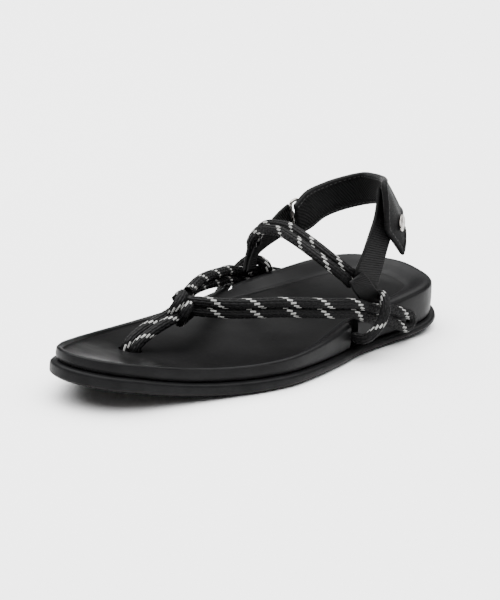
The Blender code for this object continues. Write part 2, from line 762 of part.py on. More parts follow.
# Finishes: red, green, blue, roughness, metallic
RUBBER = (0.030, 0.030, 0.032, 0.62, 0.0)
FOAM = (0.045, 0.045, 0.047, 0.48, 0.0)
CORD = (0.020, 0.020, 0.021, 0.80, 0.0)
CLOTH = (0.040, 0.040, 0.042, 0.90, 0.0)
STEEL = (0.550, 0.560, 0.570, 0.28, 1.0)
FINISHES = {
    "outsole": RUBBER,
    "footbed": FOAM,
    "insole": FOAM,
    "rope_upper": CORD,
    "instep_rope": CORD,
    "anchor_loop_lateral": CORD,
    "anchor_loop_medial": CORD,
    "webbing_lateral": CLOTH,
    "webbing_medial": CLOTH,
    "heel_strap": CLOTH,
    "strap_ring": STEEL,
    "badge_plate": STEEL,
}
SHARP_ANGLE = math.radians(42)


def paint():
    """Give every piece its own material, and smooth shading up to a sharp edge."""
    for name, (red, green, blue, roughness, metallic) in FINISHES.items():
        finish_of = bpy.data.materials.new(name)
        finish_of.use_nodes = True
        shader = finish_of.node_tree.nodes["Principled BSDF"]
        shader.inputs["Base Color"].default_value = (red, green, blue, 1.0)
        shader.inputs["Roughness"].default_value = roughness
        shader.inputs["Metallic"].default_value = metallic
        data = bpy.data.objects[name].data
        data.materials.clear()
        data.materials.append(finish_of)
        data.shade_smooth()
        data.set_sharp_from_angle(angle=SHARP_ANGLE)


def main():
    clear_objects()
    make_outsole()
    make_footbed()
    make_insole()
    make_rope_upper()
    make_instep_rope()
    make_anchor("anchor_loop_lateral", 1, LATERAL_ANCHOR)
    make_anchor("anchor_loop_medial", -1, MEDIAL_ANCHOR)
    make_web("webbing_lateral", (LATERAL_BACK_LEG, LATERAL_FRONT_LEG))
    make_web("webbing_medial", (MEDIAL_BACK_LEG, MEDIAL_FRONT_LEG))
    make_strap()
    make_strap_ring()
    make_badge()
    paint()
    centre_part()


main()
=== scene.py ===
# %% [markdown]
# # A rope sandal, left foot
#
# This lesson dresses one sandal: a moulded footbed on a rubber sole, held to the foot by doubled
# cord, ribbed webbing and a padded heel strap. The solids of the part are already packed, at their
# real size. Here every piece gets the surface that a hand and an eye would find on the real one.
# The first step loads those solids. The dressed sandal has to stay inside it.

# %% Load the imported frame
import math

import bmesh
import bpy
import numpy as np
from mathutils import Matrix, Vector


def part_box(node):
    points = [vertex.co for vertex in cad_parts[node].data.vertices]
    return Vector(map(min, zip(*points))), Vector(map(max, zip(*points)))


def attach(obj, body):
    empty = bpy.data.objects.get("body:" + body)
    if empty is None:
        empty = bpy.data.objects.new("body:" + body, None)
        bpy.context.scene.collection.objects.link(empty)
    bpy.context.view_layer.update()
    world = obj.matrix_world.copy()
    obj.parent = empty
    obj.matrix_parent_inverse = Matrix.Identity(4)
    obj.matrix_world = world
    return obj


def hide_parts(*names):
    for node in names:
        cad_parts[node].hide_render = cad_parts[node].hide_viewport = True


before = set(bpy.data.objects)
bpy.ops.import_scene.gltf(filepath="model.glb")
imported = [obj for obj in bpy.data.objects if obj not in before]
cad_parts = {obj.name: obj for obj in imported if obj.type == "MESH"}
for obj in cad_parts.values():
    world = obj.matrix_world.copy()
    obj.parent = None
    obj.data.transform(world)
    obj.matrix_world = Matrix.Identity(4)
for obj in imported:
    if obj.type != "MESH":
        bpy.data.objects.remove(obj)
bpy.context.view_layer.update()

# %% [markdown]
# ## The sizes that everything follows
#
# A maker's drawing gives few numbers: how long and wide the footbed is, how high heel, forefoot and
# toe stand, how thick the cord is. The rest is worked out from them. Stations along the foot are
# shares of the footbed's length, counted from the back of the heel; +X is the outer side of the foot.

# %% Named sizes
MM = 0.001

FOOTBED_LENGTH = 262 * MM
BALL_WIDTH = 93 * MM
HEEL_RISE = 26.8 * MM
FORE_RISE = 15.2 * MM
TOE_SPRING = 13.2 * MM
HEEL_LIFT = 6.0 * MM
BUMPER_HEIGHT = 7.4 * MM
RIM_LIP = 2.2 * MM
HEEL_ROLL = 6.0 * MM
LIP_DEPTH = 1.6 * MM
HEEL_CUP = 5.0 * MM
HEEL_DISH = 2.1 * MM
FORE_DISH = 1.2 * MM
INSOLE_THICKNESS = 2.0 * MM
BOWL_SLOPE = 2.2
BUMPER_REACH = 3.0 * MM
BUMPER_ROUND = 1.2 * MM
TREAD_DEPTH = 1.2 * MM
TREAD_GROOVE = 2.4 * MM

ROPE = 5.6 * MM
STRAND_LAP = 0.3 * MM
POST_HOLE = 12.4 * MM
INSTEP_RISE = 39 * MM
STRAP_RISE = 72 * MM
WEB_THICKNESS = 2.0 * MM
STRAP_THICKNESS = 3.2 * MM
GAP = 0.3 * MM

HALF = BALL_WIDTH / 2
TREAD = (0.12, 0.20, 0.28, 0.48, 0.56, 0.64)
POST_ALONG = 0.781
POST_ACROSS = -0.314
SLOTS = {1: 0.334, -1: 0.378}

# %% [markdown]
# ## The shape of the foot, as two tables
#
# The outline of a last is no ellipse: the inner side runs straight past the ball to the big toe, the
# outer side swings in early. One table holds the half widths, another says how heel height gives way
# to forefoot height and toe spring. A cubic between neighbouring rows keeps both smooth.

# %% Outline and height tables
OUTLINE = (
    # along, lateral, medial
    (0.018, 0.35, 0.38),
    (0.045, 0.60, 0.595),
    (0.090, 0.745, 0.70),
    (0.155, 0.785, 0.785),
    (0.240, 0.775, 0.825),
    (0.320, 0.805, 0.87),
    (0.400, 0.90, 0.91),
    (0.480, 0.975, 0.93),
    (0.560, 1.01, 0.97),
    (0.630, 0.955, 1.015),
    (0.700, 0.85, 1.005),
    (0.770, 0.74, 0.93),
    (0.840, 0.635, 0.80),
    (0.900, 0.535, 0.655),
    (0.950, 0.405, 0.515),
    (0.985, 0.19, 0.36),
)
HEEL_POINT = -0.04
TOE_POINT = -0.09

HEIGHTS = (
    # along, lateral, medial, spring, lift, bumper
    (0.00, 1.00, 1.00, 0.00, 1.00, 0.70),
    (0.04, 0.99, 1.02, 0.00, 0.62, 0.68),
    (0.10, 0.95, 1.06, 0.00, 0.36, 0.66),
    (0.20, 0.76, 0.96, 0.00, 0.14, 0.66),
    (0.30, 0.50, 0.80, 0.00, 0.02, 0.68),
    (0.40, 0.24, 0.54, 0.00, 0.00, 0.74),
    (0.50, 0.05, 0.27, 0.00, 0.00, 0.84),
    (0.62, 0.00, 0.03, 0.00, 0.00, 0.96),
    (0.70, 0.00, 0.00, 0.045, 0.00, 1.00),
    (0.78, 0.00, 0.00, 0.215, 0.00, 1.00),
    (0.86, 0.00, 0.00, 0.49, 0.00, 1.02),
    (0.93, 0.00, 0.00, 0.775, 0.00, 1.07),
    (1.00, 0.00, 0.00, 1.00, 0.00, 1.12),
)


def column(table, along, index):
    """Smooth value of one column of a table at a station."""
    if along <= table[0][0]:
        return table[0][index]
    if along >= table[-1][0]:
        return table[-1][index]
    k = max(i for i in range(len(table) - 1) if table[i][0] <= along)
    a, b = table[k], table[k + 1]
    before = table[max(k - 1, 0)]
    after = table[min(k + 2, len(table) - 1)]
    span = b[0] - a[0]
    u = (along - a[0]) / span
    m0 = (b[index] - before[index]) / (b[0] - before[0]) * span
    m1 = (after[index] - a[index]) / (after[0] - a[0]) * span
    return ((2 * u**3 - 3 * u**2 + 1) * a[index] + (u**3 - 2 * u**2 + u) * m0
            + (-2 * u**3 + 3 * u**2) * b[index] + (u**3 - u**2) * m1)


print("ball half widths", [round(column(OUTLINE, 0.63, k) * HALF / MM, 1) for k in (1, 2)], "mm")


# %% Heights and widths at a station
def y_at(along):
    """Station to Y: heel at +Y, toe at -Y."""
    return FOOTBED_LENGTH * (0.5 - along)


def along_at(y):
    return min(1.0, max(0.0, 0.5 - y / FOOTBED_LENGTH))


def rim_z(along, side):
    """Height of the rim; side runs from -1 medial to +1 lateral."""
    share = 0.5 + 0.5 * side
    blend = share * column(HEIGHTS, along, 1) + (1 - share) * column(HEIGHTS, along, 2)
    return FORE_RISE + (HEEL_RISE - FORE_RISE) * blend + TOE_SPRING * column(HEIGHTS, along, 3)


def ground_z(along):
    """Underside of the outsole."""
    return max(0.0, TOE_SPRING * column(HEIGHTS, along, 3) + HEEL_LIFT * column(HEIGHTS, along, 4))


def seam_z(along):
    """Line where footbed and outsole meet."""
    return ground_z(along) + BUMPER_HEIGHT * column(HEIGHTS, along, 5)


def rim_x(along, side):
    """Signed half width of the rim at a station."""
    rows = [(0.0, HEEL_POINT, -HEEL_POINT)] + list(OUTLINE) + [(1.0, TOE_POINT, -TOE_POINT)]
    return side * HALF * column(rows, along, 1 if side > 0 else 2)


def lip(along):
    """Width of the rim: a narrow lip in front, a broad roll at the heel."""
    return RIM_LIP + (HEEL_ROLL - RIM_LIP) * column(HEIGHTS, along, 2)


def recess(along):
    """How deep the foot bed lies under its rim."""
    return LIP_DEPTH + (HEEL_CUP - LIP_DEPTH) * column(HEIGHTS, along, 2)


def dish(along):
    """How far the middle of the bed lies under its edge."""
    return FORE_DISH + (HEEL_DISH - FORE_DISH) * column(HEIGHTS, along, 2)


print("rim height at heel, arch and toe",
      [round(rim_z(t, 1) / MM, 1) for t in (0.0, 0.4, 1.0)], "mm")

# %% [markdown]
# ## Where the drawing lies in the frame
#
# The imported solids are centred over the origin, while the tables count from the middle of the
# footbed. The outsole's own box gives the small shift between the two, so nothing is fitted by eye.


# %% Outline ring and shift
def catmull(p0, p1, p2, p3, u):
    """Smooth curve through p1 and p2, which p0 and p3 steer."""
    return 0.5 * (2 * p1 + (p2 - p0) * u + (2 * p0 - 5 * p1 + 4 * p2 - p3) * u * u
                  + (3 * p1 - p0 - 3 * p2 + p3) * u**3)


def outline_points(steps):
    """Closed outline from the heel round the lateral side to the toe and back."""
    rows = [(0.0, HEEL_POINT * HALF)]
    rows += [(along, lateral * HALF) for along, lateral, medial in OUTLINE]
    rows += [(1.0, TOE_POINT * HALF)]
    rows += [(along, -medial * HALF) for along, lateral, medial in reversed(OUTLINE)]
    knots = [Vector((x, y_at(along))) for along, x in rows]
    count = len(knots)
    points = []
    for k in range(count):
        around = [knots[(k + j) % count] for j in (-1, 0, 1, 2)]
        points += [catmull(*around, s / steps) for s in range(steps)]
    return points


OUTLINE_STEPS = 8
RING_XY = outline_points(OUTLINE_STEPS)
COUNT = len(RING_XY)


def outward(index):
    """Unit normal of the outline, pointing away from the foot."""
    tangent = RING_XY[(index + 1) % COUNT] - RING_XY[index - 1]
    return Vector((-tangent.y, tangent.x)).normalized()


drawn_x = [(p + outward(k) * BUMPER_REACH).x for k, p in enumerate(RING_XY)]
sole_low, sole_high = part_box("outsole")
SHIFT = Vector(((sole_low[0] + sole_high[0]) / 2 - (min(drawn_x) + max(drawn_x)) / 2, 0, sole_low[2]))
print("outline of", COUNT, "points, shift", [round(v / MM, 2) for v in SHIFT], "mm")

# %% [markdown]
# ## Mesh helpers
#
# Three helpers make the sole. `mesh_piece` turns points and faces into an object in the frame. `skin`
# stacks closed rings into a sole-like solid and closes it with strips from side to side, which follow
# the dish of the footbed better than a fan would. `cut` takes one solid out of another.


# %% Piece helpers
WELD = 0.001 * MM
SHARP_ANGLE = math.radians(40)


def add_object(name, data):
    """An object for a mesh, a light or a camera, linked into the scene."""
    item = bpy.data.objects.new(name, data)
    bpy.context.scene.collection.objects.link(item)
    return item


def weld(data, thinnest=None):
    """Join points that coincide, drop faces thinner than a size, and turn the normals outward."""
    mesh = bmesh.new()
    mesh.from_mesh(data)
    bmesh.ops.remove_doubles(mesh, verts=mesh.verts, dist=WELD)
    if thinnest:
        bmesh.ops.dissolve_degenerate(mesh, edges=mesh.edges, dist=thinnest)
    bmesh.ops.recalc_face_normals(mesh, faces=mesh.faces)
    mesh.to_mesh(data)
    mesh.free()
    data.shade_smooth()


def mesh_piece(name, points, faces):
    """A smooth-shaded object from points in the drawing's frame."""
    data = bpy.data.meshes.new(name)
    data.from_pydata([tuple(Vector(p) + SHIFT) for p in points], [], [tuple(f) for f in faces])
    data.validate()
    weld(data)
    return add_object(name, data)


def dress(item, slot, *materials, replaces=()):
    """Give a piece its materials and hide the solids that it stands for; the slot is not used."""
    for material in materials:
        item.data.materials.append(material)
    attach(item, "root")
    for node in replaces:
        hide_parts(node)
    print(item.name, "has", sum(len(p.vertices) - 2 for p in item.data.polygons), "triangles")


def cut(item, other):
    """Take one closed solid out of another; the second one is used up."""
    step = item.modifiers.new("cut", "BOOLEAN")
    step.operation = "DIFFERENCE"
    step.solver = "EXACT"
    step.object = other
    graph = bpy.context.evaluated_depsgraph_get()
    graph.update()
    data = bpy.data.meshes.new_from_object(item.evaluated_get(graph))
    item.modifiers.clear()
    item.data = data
    bpy.data.objects.remove(other)


# %% Rings and skins of the sole
def side_of(x):
    """How far a point lies to the lateral (+1) or medial (-1) side."""
    return max(-1.0, min(1.0, x / (0.5 * HALF)))


def rounded(rows, steps):
    """Points on a smooth line through the rows of a profile."""
    ends = [rows[0]] + list(rows) + [rows[-1]]
    out = []
    for k in range(1, len(ends) - 2):
        for s in range(steps):
            out.append(catmull(*ends[k - 1:k + 3], s / steps))
    out.append(rows[-1])
    return out


# Rings far inside the outline are eased, so that they don't fold at the corners of the heel
EASE_FROM = 6 * MM
EASE_TURNS = 14
# Strips shorter than this sag less, so that the bowl ends softly at heel and toe
FULL_SAG = 44 * MM


def skin(name, profile, steps, columns, bottom_sag, top_sag):
    """Closed solid: profile(along, side) gives (inset, height) rows from the bottom to the top."""
    points, faces = [], []
    for k, base in enumerate(RING_XY):
        along = along_at(base.y)
        out = outward(k)
        rows = [Vector(row) for row in profile(along, side_of(base.x))]
        for inset, height in rounded(rows, steps):
            points.append(Vector((base.x - out.x * inset, base.y - out.y * inset, height)))
    rings = len(points) // COUNT
    insets = [(Vector(p[:2]) - RING_XY[0]).length for p in points[:rings]]
    for j in range(rings):
        for _ in range(EASE_TURNS if insets[j] > EASE_FROM else 0):
            ring = [points[k * rings + j] for k in range(COUNT)]
            for k in range(COUNT):
                points[k * rings + j] = (ring[k - 1] + 2 * ring[k] + ring[(k + 1) % COUNT]) / 4
    for k in range(COUNT):
        n = (k + 1) % COUNT
        for j in range(rings - 1):
            faces.append((k * rings + j, n * rings + j, n * rings + j + 1, k * rings + j + 1))
    for ring, sag in ((0, bottom_sag), (rings - 1, top_sag)):
        rows = [[ring] * (columns + 1)]
        for k in range(1, COUNT // 2):
            a, b = k * rings + ring, (COUNT - k) * rings + ring
            row = [a]
            apart = (points[a] - points[b]).length
            for c in range(1, columns):
                u = c / columns
                p = points[a].lerp(points[b], u)
                p.z -= sag(along_at(p.y)) * 4 * u * (1 - u) * min(1.0, apart / FULL_SAG) ** 2
                row.append(len(points))
                points.append(p)
            rows.append(row + [b])
        rows.append([COUNT // 2 * rings + ring] * (columns + 1))
        for one, two in zip(rows, rows[1:]):
            for c in range(columns):
                loop = [one[c], two[c], two[c + 1], one[c + 1]]
                faces.append(list(dict.fromkeys(loop)))
    return mesh_piece(name, points, faces)


# %% Cutting tools
def block(name, low, high):
    """Plain box, used only to cut with."""
    points = [(x, y, z) for z in (low[2], high[2]) for y in (low[1], high[1]) for x in (low[0], high[0])]
    faces = [(0, 2, 3, 1), (4, 5, 7, 6), (0, 1, 5, 4), (1, 3, 7, 5), (3, 2, 6, 7), (2, 0, 4, 6)]
    return mesh_piece(name, points, faces)


def drill(name, centre, radius, low, high, sides=48):
    """Plain round bar, used only to cut with."""
    angles = [math.tau * k / sides for k in range(sides)]
    points = [(centre[0] + radius * math.cos(a), centre[1] + radius * math.sin(a), z)
              for z in (low, high) for a in angles]
    faces = [(k, (k + 1) % sides, sides + (k + 1) % sides, sides + k) for k in range(sides)]
    faces += [tuple(range(sides)), tuple(range(sides, 2 * sides))]
    return mesh_piece(name, points, faces)


def flat(along):
    """Sag of a face that stays level."""
    return 0.0


POST_XY = (POST_ACROSS * HALF, y_at(POST_ALONG))
print("toe post stands at", [round(v / MM, 1) for v in POST_XY], "mm")

# %% [markdown]
# ## Black is never one black
#
# Everything on this sandal is black, so only gloss, grain and a little grey tell the materials apart.
# Each finish starts from one helper: a principled shader whose colour drifts between two near tones,
# whose roughness drifts too, and whose grain is real bump at the size of the real grain.


# %% Finish helpers
def finish(name, roughness, specular, metallic=0.0):
    """A material with its even values set on the shader itself."""
    made = bpy.data.materials.new(name)
    made.use_nodes = True
    shader = made.node_tree.nodes["Principled BSDF"]
    shader.inputs["Roughness"].default_value = roughness
    shader.inputs["Specular IOR Level"].default_value = specular
    shader.inputs["Metallic"].default_value = metallic
    return made


def node_in(made, kind, **values):
    """Add a node and set its inputs by name."""
    node = made.node_tree.nodes.new(kind)
    for key, value in values.items():
        node.inputs[key.replace("_", " ")].default_value = value
    return node


def noise_in(made, size, detail=3.0):
    """Noise whose features are about size across, in metres."""
    place = made.node_tree.nodes.new("ShaderNodeTexCoord")
    noise = node_in(made, "ShaderNodeTexNoise", Scale=1 / size, Detail=detail)
    made.node_tree.links.new(place.outputs["Object"], noise.inputs["Vector"])
    return noise


def colour_from(made, source, low, high, stops=(0.35, 0.65)):
    """Colour the surface from a low to a high tone by a value."""
    tree = made.node_tree
    ramp = tree.nodes.new("ShaderNodeValToRGB")
    for k, tone in enumerate((low, high)):
        ramp.color_ramp.elements[k].position = stops[k]
        ramp.color_ramp.elements[k].color = (*tone, 1.0)
    tree.links.new(source, ramp.inputs["Fac"])
    tree.links.new(ramp.outputs["Color"], tree.nodes["Principled BSDF"].inputs["Base Color"])


def tones(made, low, high, size):
    """Let the colour drift between two tones over patches of a size."""
    colour_from(made, noise_in(made, size).outputs["Fac"], low, high)


def gloss_drift(made, low, high, size):
    """Let the roughness drift, as on a moulded or handled surface."""
    tree = made.node_tree
    spread = node_in(made, "ShaderNodeMapRange", From_Min=0.3, From_Max=0.7, To_Min=low, To_Max=high)
    tree.links.new(noise_in(made, size).outputs["Fac"], spread.inputs["Value"])
    tree.links.new(spread.outputs["Result"], tree.nodes["Principled BSDF"].inputs["Roughness"])


# %% Grain helpers
def relief(made, source, depth):
    """Add a height to the bump chain of a material; depth is in metres."""
    tree = made.node_tree
    shader = tree.nodes["Principled BSDF"]
    bump = node_in(made, "ShaderNodeBump", Distance=depth, Strength=1.0)
    if shader.inputs["Normal"].is_linked:
        tree.links.new(shader.inputs["Normal"].links[0].from_socket, bump.inputs["Normal"])
    tree.links.new(source, bump.inputs["Height"])
    tree.links.new(bump.outputs["Normal"], shader.inputs["Normal"])


def grain(made, size, depth, detail=4.0):
    """Even grain of a size, as a mould or a cloth leaves it."""
    relief(made, noise_in(made, size, detail).outputs["Fac"], depth)


# %% [markdown]
# ## Rubber, foam skin and top sheet
#
# The outsole is matt rubber: rough, with a fine tooth from its mould. The footbed's foam has a skin
# that is smoother and catches a soft long highlight on the heel roll. The top sheet under the foot is
# a shade darker and has the finest grain, so that it reads as a separate layer. A matt black takes
# most of its grey from gloss, so the base colours are darker than they look.

# %% Sole finishes
RUBBER = finish("sole_rubber", roughness=0.5, specular=0.07)
tones(RUBBER, (0.0030, 0.0030, 0.0032), (0.0050, 0.0050, 0.0053), 9 * MM)
gloss_drift(RUBBER, 0.42, 0.54, 6 * MM)
grain(RUBBER, 0.55 * MM, 0.06 * MM)
grain(RUBBER, 3.0 * MM, 0.08 * MM)

FOAM = finish("footbed_foam", roughness=0.42, specular=0.07)
tones(FOAM, (0.0032, 0.0032, 0.0034), (0.0050, 0.0050, 0.0053), 14 * MM)
gloss_drift(FOAM, 0.38, 0.47, 11 * MM)
grain(FOAM, 0.7 * MM, 0.03 * MM)
grain(FOAM, 5.0 * MM, 0.06 * MM)

TOP_SHEET = finish("insole_foam", roughness=0.38, specular=0.05)
tones(TOP_SHEET, (0.0020, 0.0020, 0.0021), (0.0032, 0.0032, 0.0033), 18 * MM)
gloss_drift(TOP_SHEET, 0.34, 0.42, 13 * MM)
grain(TOP_SHEET, 0.45 * MM, 0.025 * MM)
grain(TOP_SHEET, 7.0 * MM, 0.10 * MM)
print("made", [m.name for m in (RUBBER, FOAM, TOP_SHEET)])

# %% [markdown]
# ## The outsole
#
# The rubber sole stands out a few millimetres round the footbed as a rounded bumper, dips to a soft
# groove under the footbed's wall, turns up at the toe and lifts a little at the back of the heel. Its
# section is a list of insets and heights that follow the station, and one call lofts it round the
# outline. The cross grooves of the tread are cut with plain blocks, because on the real sole they run
# straight through from side to side.


# %% Make the outsole
SKIN_STEPS = 3
SOLE_COLUMNS = 16


def sole_section(along, side):
    """Rows of inset and height, from the underside round the bumper to the top."""
    low, top = ground_z(along), seam_z(along)
    return (
        (2.2 * BUMPER_ROUND, low),
        (0.9 * BUMPER_ROUND, low),
        (-0.4 * BUMPER_REACH, low + 0.55 * BUMPER_ROUND),
        (-0.92 * BUMPER_REACH, low + 1.6 * BUMPER_ROUND),
        (-BUMPER_REACH, low + 2.6 * BUMPER_ROUND),
        (-BUMPER_REACH, top - 1.9 * BUMPER_ROUND),
        (-0.90 * BUMPER_REACH, top - 0.75 * BUMPER_ROUND),
        (-0.55 * BUMPER_REACH, top - 0.12 * BUMPER_ROUND),
        (-0.15 * BUMPER_REACH, top),
        (0.5 * BUMPER_REACH, top),
    )


outsole = skin("outsole_rubber", sole_section, SKIN_STEPS, SOLE_COLUMNS, flat, flat)
for station in TREAD:
    y = y_at(station)
    cut(outsole, block("groove", (-BALL_WIDTH, y - TREAD_GROOVE / 2, -TREAD_DEPTH),
                       (BALL_WIDTH, y + TREAD_GROOVE / 2, ground_z(station) + TREAD_DEPTH)))
outsole.data.set_sharp_from_angle(angle=SHARP_ANGLE)
dress(outsole, "sole_rubber", RUBBER, replaces=("outsole",))

# %% [markdown]
# ## The footbed
#
# One moulding carries the foot: a wall that leans in slightly, a rim, and the bowl inside it. At the
# forefoot the rim is a lip two millimetres wide; round the heel it swells to a roll. The same section
# function makes both, because lip width and bowl depth are themselves functions of the station.
# The toe post's hole and the two anchor slots are cut afterwards.


# %% Section of the footbed
def bed_floor(along, side):
    """Top of the footbed under the top sheet, at the edge of the recess."""
    return rim_z(along, side) - recess(along) - INSOLE_THICKNESS


def bowl_edge(along):
    """Inset at which the rim has come down to the top sheet."""
    return lip(along) + 0.55 * LIP_DEPTH + BOWL_SLOPE * (recess(along) - LIP_DEPTH)


def bed_section(along, side):
    """Rows from the foot of the wall over the rim and down into the bowl."""
    low, top, wide, deep = seam_z(along), rim_z(along, side), lip(along), recess(along)
    return (
        (0.6 * RIM_LIP, low + GAP),
        (0.25 * RIM_LIP, low + GAP + 0.12 * RIM_LIP),
        (0.05 * RIM_LIP, low + GAP + 0.6 * RIM_LIP),
        (-0.12 * RIM_LIP, 0.55 * low + 0.45 * top),
        (0.0, top - 0.42 * wide),
        (0.08 * wide, top - 0.22 * wide),
        (0.22 * wide, top - 0.07 * wide),
        (0.45 * wide, top),
        (0.72 * wide, top - 0.04 * deep),
        (wide, top - 0.18 * deep),
        (0.65 * wide + 0.35 * bowl_edge(along), top - 0.52 * deep),
        (0.30 * wide + 0.70 * bowl_edge(along), top - 0.85 * deep),
        (bowl_edge(along), top - deep),
        (bowl_edge(along) + 0.4 * GAP, bed_floor(along, side) + 0.3 * INSOLE_THICKNESS),
        (bowl_edge(along) + GAP, bed_floor(along, side)),
    )


# %% Make the footbed
SLOT_DEPTH = 0.72 * ROPE
SLOT_HALF = 0.64 * ROPE
SLOT_PAST = 2 * ROPE

footbed = skin("footbed_moulding", bed_section, SKIN_STEPS, SOLE_COLUMNS, flat, dish)
cut(footbed, drill("hole", POST_XY, POST_HOLE / 2, 0, 2 * FORE_RISE))
for side, slot in SLOTS.items():
    wall = rim_x(slot, side)
    across = sorted((wall - side * SLOT_DEPTH, wall + side * SLOT_PAST))
    cut(footbed, block("slot", (across[0], y_at(slot) - SLOT_HALF, seam_z(slot) + 2 * GAP),
                       (across[1], y_at(slot) + SLOT_HALF, 2 * HEEL_RISE)))
footbed.data.set_sharp_from_angle(angle=SHARP_ANGLE)
dress(footbed, "footbed_foam", FOAM, replaces=("footbed",))


# %% Make the top sheet
SHEET_COLUMNS = 32


def sheet_section(along, side):
    """Rows up the thin edge of the sheet."""
    floor = bed_floor(along, side)
    edge = bowl_edge(along)
    return (
        (edge + 0.3 * GAP, floor + GAP),
        (edge - 0.8 * GAP, floor + 0.6 * INSOLE_THICKNESS),
        (edge - 1.2 * GAP, floor + 0.94 * INSOLE_THICKNESS),
        (edge - 0.9 * GAP, floor + INSOLE_THICKNESS),
    )


top_sheet = skin("top_sheet", sheet_section, SKIN_STEPS, SHEET_COLUMNS, dish, dish)
cut(top_sheet, drill("hole", POST_XY, POST_HOLE / 2, 0, 2 * FORE_RISE))
top_sheet.data.set_sharp_from_angle(angle=SHARP_ANGLE)
dress(top_sheet, "insole_foam", TOP_SHEET, replaces=("insole",))

# %% [markdown]
# ## Where the cord runs
#
# The cord is held by the sandal all the way, so its route is part of the design and not of gravity.
# Each route is a short table: free stretches count in shares of foot width, length and instep height,
# and stretches along the wall count in cord widths from the wall and the rim. A smooth curve through
# the rows gives the middle line between the two strands.

# %% Route tables
POST_ROUTE = (
    # across, along, up in shares of INSTEP_RISE
    (-0.314, 0.7821, 0.3487),
    (-0.314, 0.7782, 0.4360),
    (-0.312, 0.7634, 0.5180),
    (-0.305, 0.7366, 0.5950),
    (-0.299, 0.7061, 0.6540),
    (-0.295, 0.6718, 0.7080),
    (-0.290, 0.6450, 0.7600),
)
LATERAL_ROUTE = (
    # across, along, up, reach, beside, over
    (-0.215, 0.6377, 0.8499, 0.0, 0.00, 0.00),
    (0.020, 0.6127, 0.8578, 0.0, 0.00, 0.00),
    (0.260, 0.5756, 0.8643, 0.0, 0.00, 0.00),
    (0.520, 0.4977, 0.8547, 0.0, 0.00, 0.00),
    (0.710, 0.4178, 0.7897, 0.0, 0.00, 0.00),
    (0.860, 0.3500, 0.7372, 0.0, 0.00, 0.00),
    (0.000, 0.3000, 0.0000, 1.0, 0.72, 0.50),
    (0.000, 0.2620, 0.0000, 1.0, 0.72, -0.12),
    (0.000, 0.2386, 0.0000, 1.0, 0.76, -0.58),
    (0.000, 0.2084, 0.0000, 1.0, 0.82, -1.40),
    (0.000, 0.1820, 0.0000, 1.0, 0.86, -2.00),
)
MEDIAL_ROUTE = (
    (-0.345, 0.6195, 0.9180, 0.0, 0.00, 0.00),
    (-0.520, 0.5525, 0.9160, 0.0, 0.00, 0.00),
    (-0.670, 0.4875, 0.8620, 0.0, 0.00, 0.00),
    (-0.800, 0.4227, 0.7800, 0.0, 0.00, 0.00),
    (-0.905, 0.3759, 0.7150, 0.0, 0.00, 0.00),
    (0.000, 0.3280, 0.0000, 1.0, 0.64, 0.05),
    (0.000, 0.2950, 0.0000, 1.0, 0.68, -0.30),
    (0.000, 0.2620, 0.0000, 1.0, 0.72, -0.70),
    (0.000, 0.2386, 0.0000, 1.0, 0.76, -1.10),
    (0.000, 0.2084, 0.0000, 1.0, 0.82, -1.75),
    (0.000, 0.1820, 0.0000, 1.0, 0.86, -2.30),
)
INSTEP_ROUTE = (
    # across, along, up in shares of STRAP_RISE
    (0.690, 0.3220, 0.5700),
    (0.655, 0.3360, 0.6200),
    (0.450, 0.3550, 0.7140),
    (0.180, 0.3500, 0.7620),
    (-0.100, 0.3380, 0.7890),
    (-0.345, 0.3250, 0.7930),
    (-0.581, 0.3216, 0.7720),
    (-0.700, 0.3190, 0.7420),
    (-0.790, 0.3150, 0.6900),
    (-0.845, 0.3120, 0.6300),
    (-0.858, 0.3100, 0.5780),
)
LATERAL_ANCHOR = (
    # beside, round, over in cord widths from wall, slot and rim
    (-0.10, 0.00, -1.45),
    (0.60, 0.02, -1.45),
    (1.35, 0.12, -1.30),
    (1.80, 0.60, -0.80),
    (1.80, 1.60, 0.00),
    (1.64, 2.40, 1.08),
    (0.95, 3.00, 1.84),
    (0.00, 3.55, 1.98),
    (-0.62, 3.98, 1.48),
    (-0.80, 4.15, 1.02),
    (-0.84, 4.20, 0.68),
)
MEDIAL_ANCHOR = (
    (-0.10, 0.00, -2.10),
    (0.60, 0.02, -2.10),
    (1.25, 0.15, -1.90),
    (1.50, 0.85, -1.20),
    (1.52, 2.10, -0.35),
    (1.46, 3.20, 0.68),
    (0.98, 3.95, 1.42),
    (0.20, 4.50, 1.60),
    (-0.42, 4.85, 1.29),
    (-0.68, 5.00, 0.88),
    (-0.76, 5.05, 0.66),
)


# %% Smooth routes
def unit(rows):
    """The same vectors at length one."""
    return rows / np.linalg.norm(rows, axis=-1, keepdims=True)


def distances(line):
    """How far each point lies from the first, along the line."""
    return np.concatenate([[0], np.cumsum(np.linalg.norm(np.diff(line, axis=0), axis=1))])


def as_rows(path):
    """Points as an array with one point a row."""
    return np.array([tuple(p) for p in path])


def smooth_path(points, step):
    """Catmull-Rom curve through the points, sampled about every step."""
    path = [Vector(p) for p in points]
    ends = [path[0] * 2 - path[1]] + path + [path[-1] * 2 - path[-2]]
    out = []
    for k in range(1, len(ends) - 2):
        count = max(1, round((ends[k + 1] - ends[k]).length / step))
        out += [catmull(*ends[k - 1:k + 3], s / count) for s in range(count)]
    return out + [path[-1]]


def side_route(rows, side):
    """Side cords: free at first, then along the wall."""
    out = []
    for across, along, up, reach, beside, over in rows:
        free = Vector((across * HALF, y_at(along), up * INSTEP_RISE))
        wall = Vector((rim_x(along, side) + side * beside * ROPE, y_at(along),
                       rim_z(along, side) + over * ROPE))
        out.append(free.lerp(wall, reach))
    return out


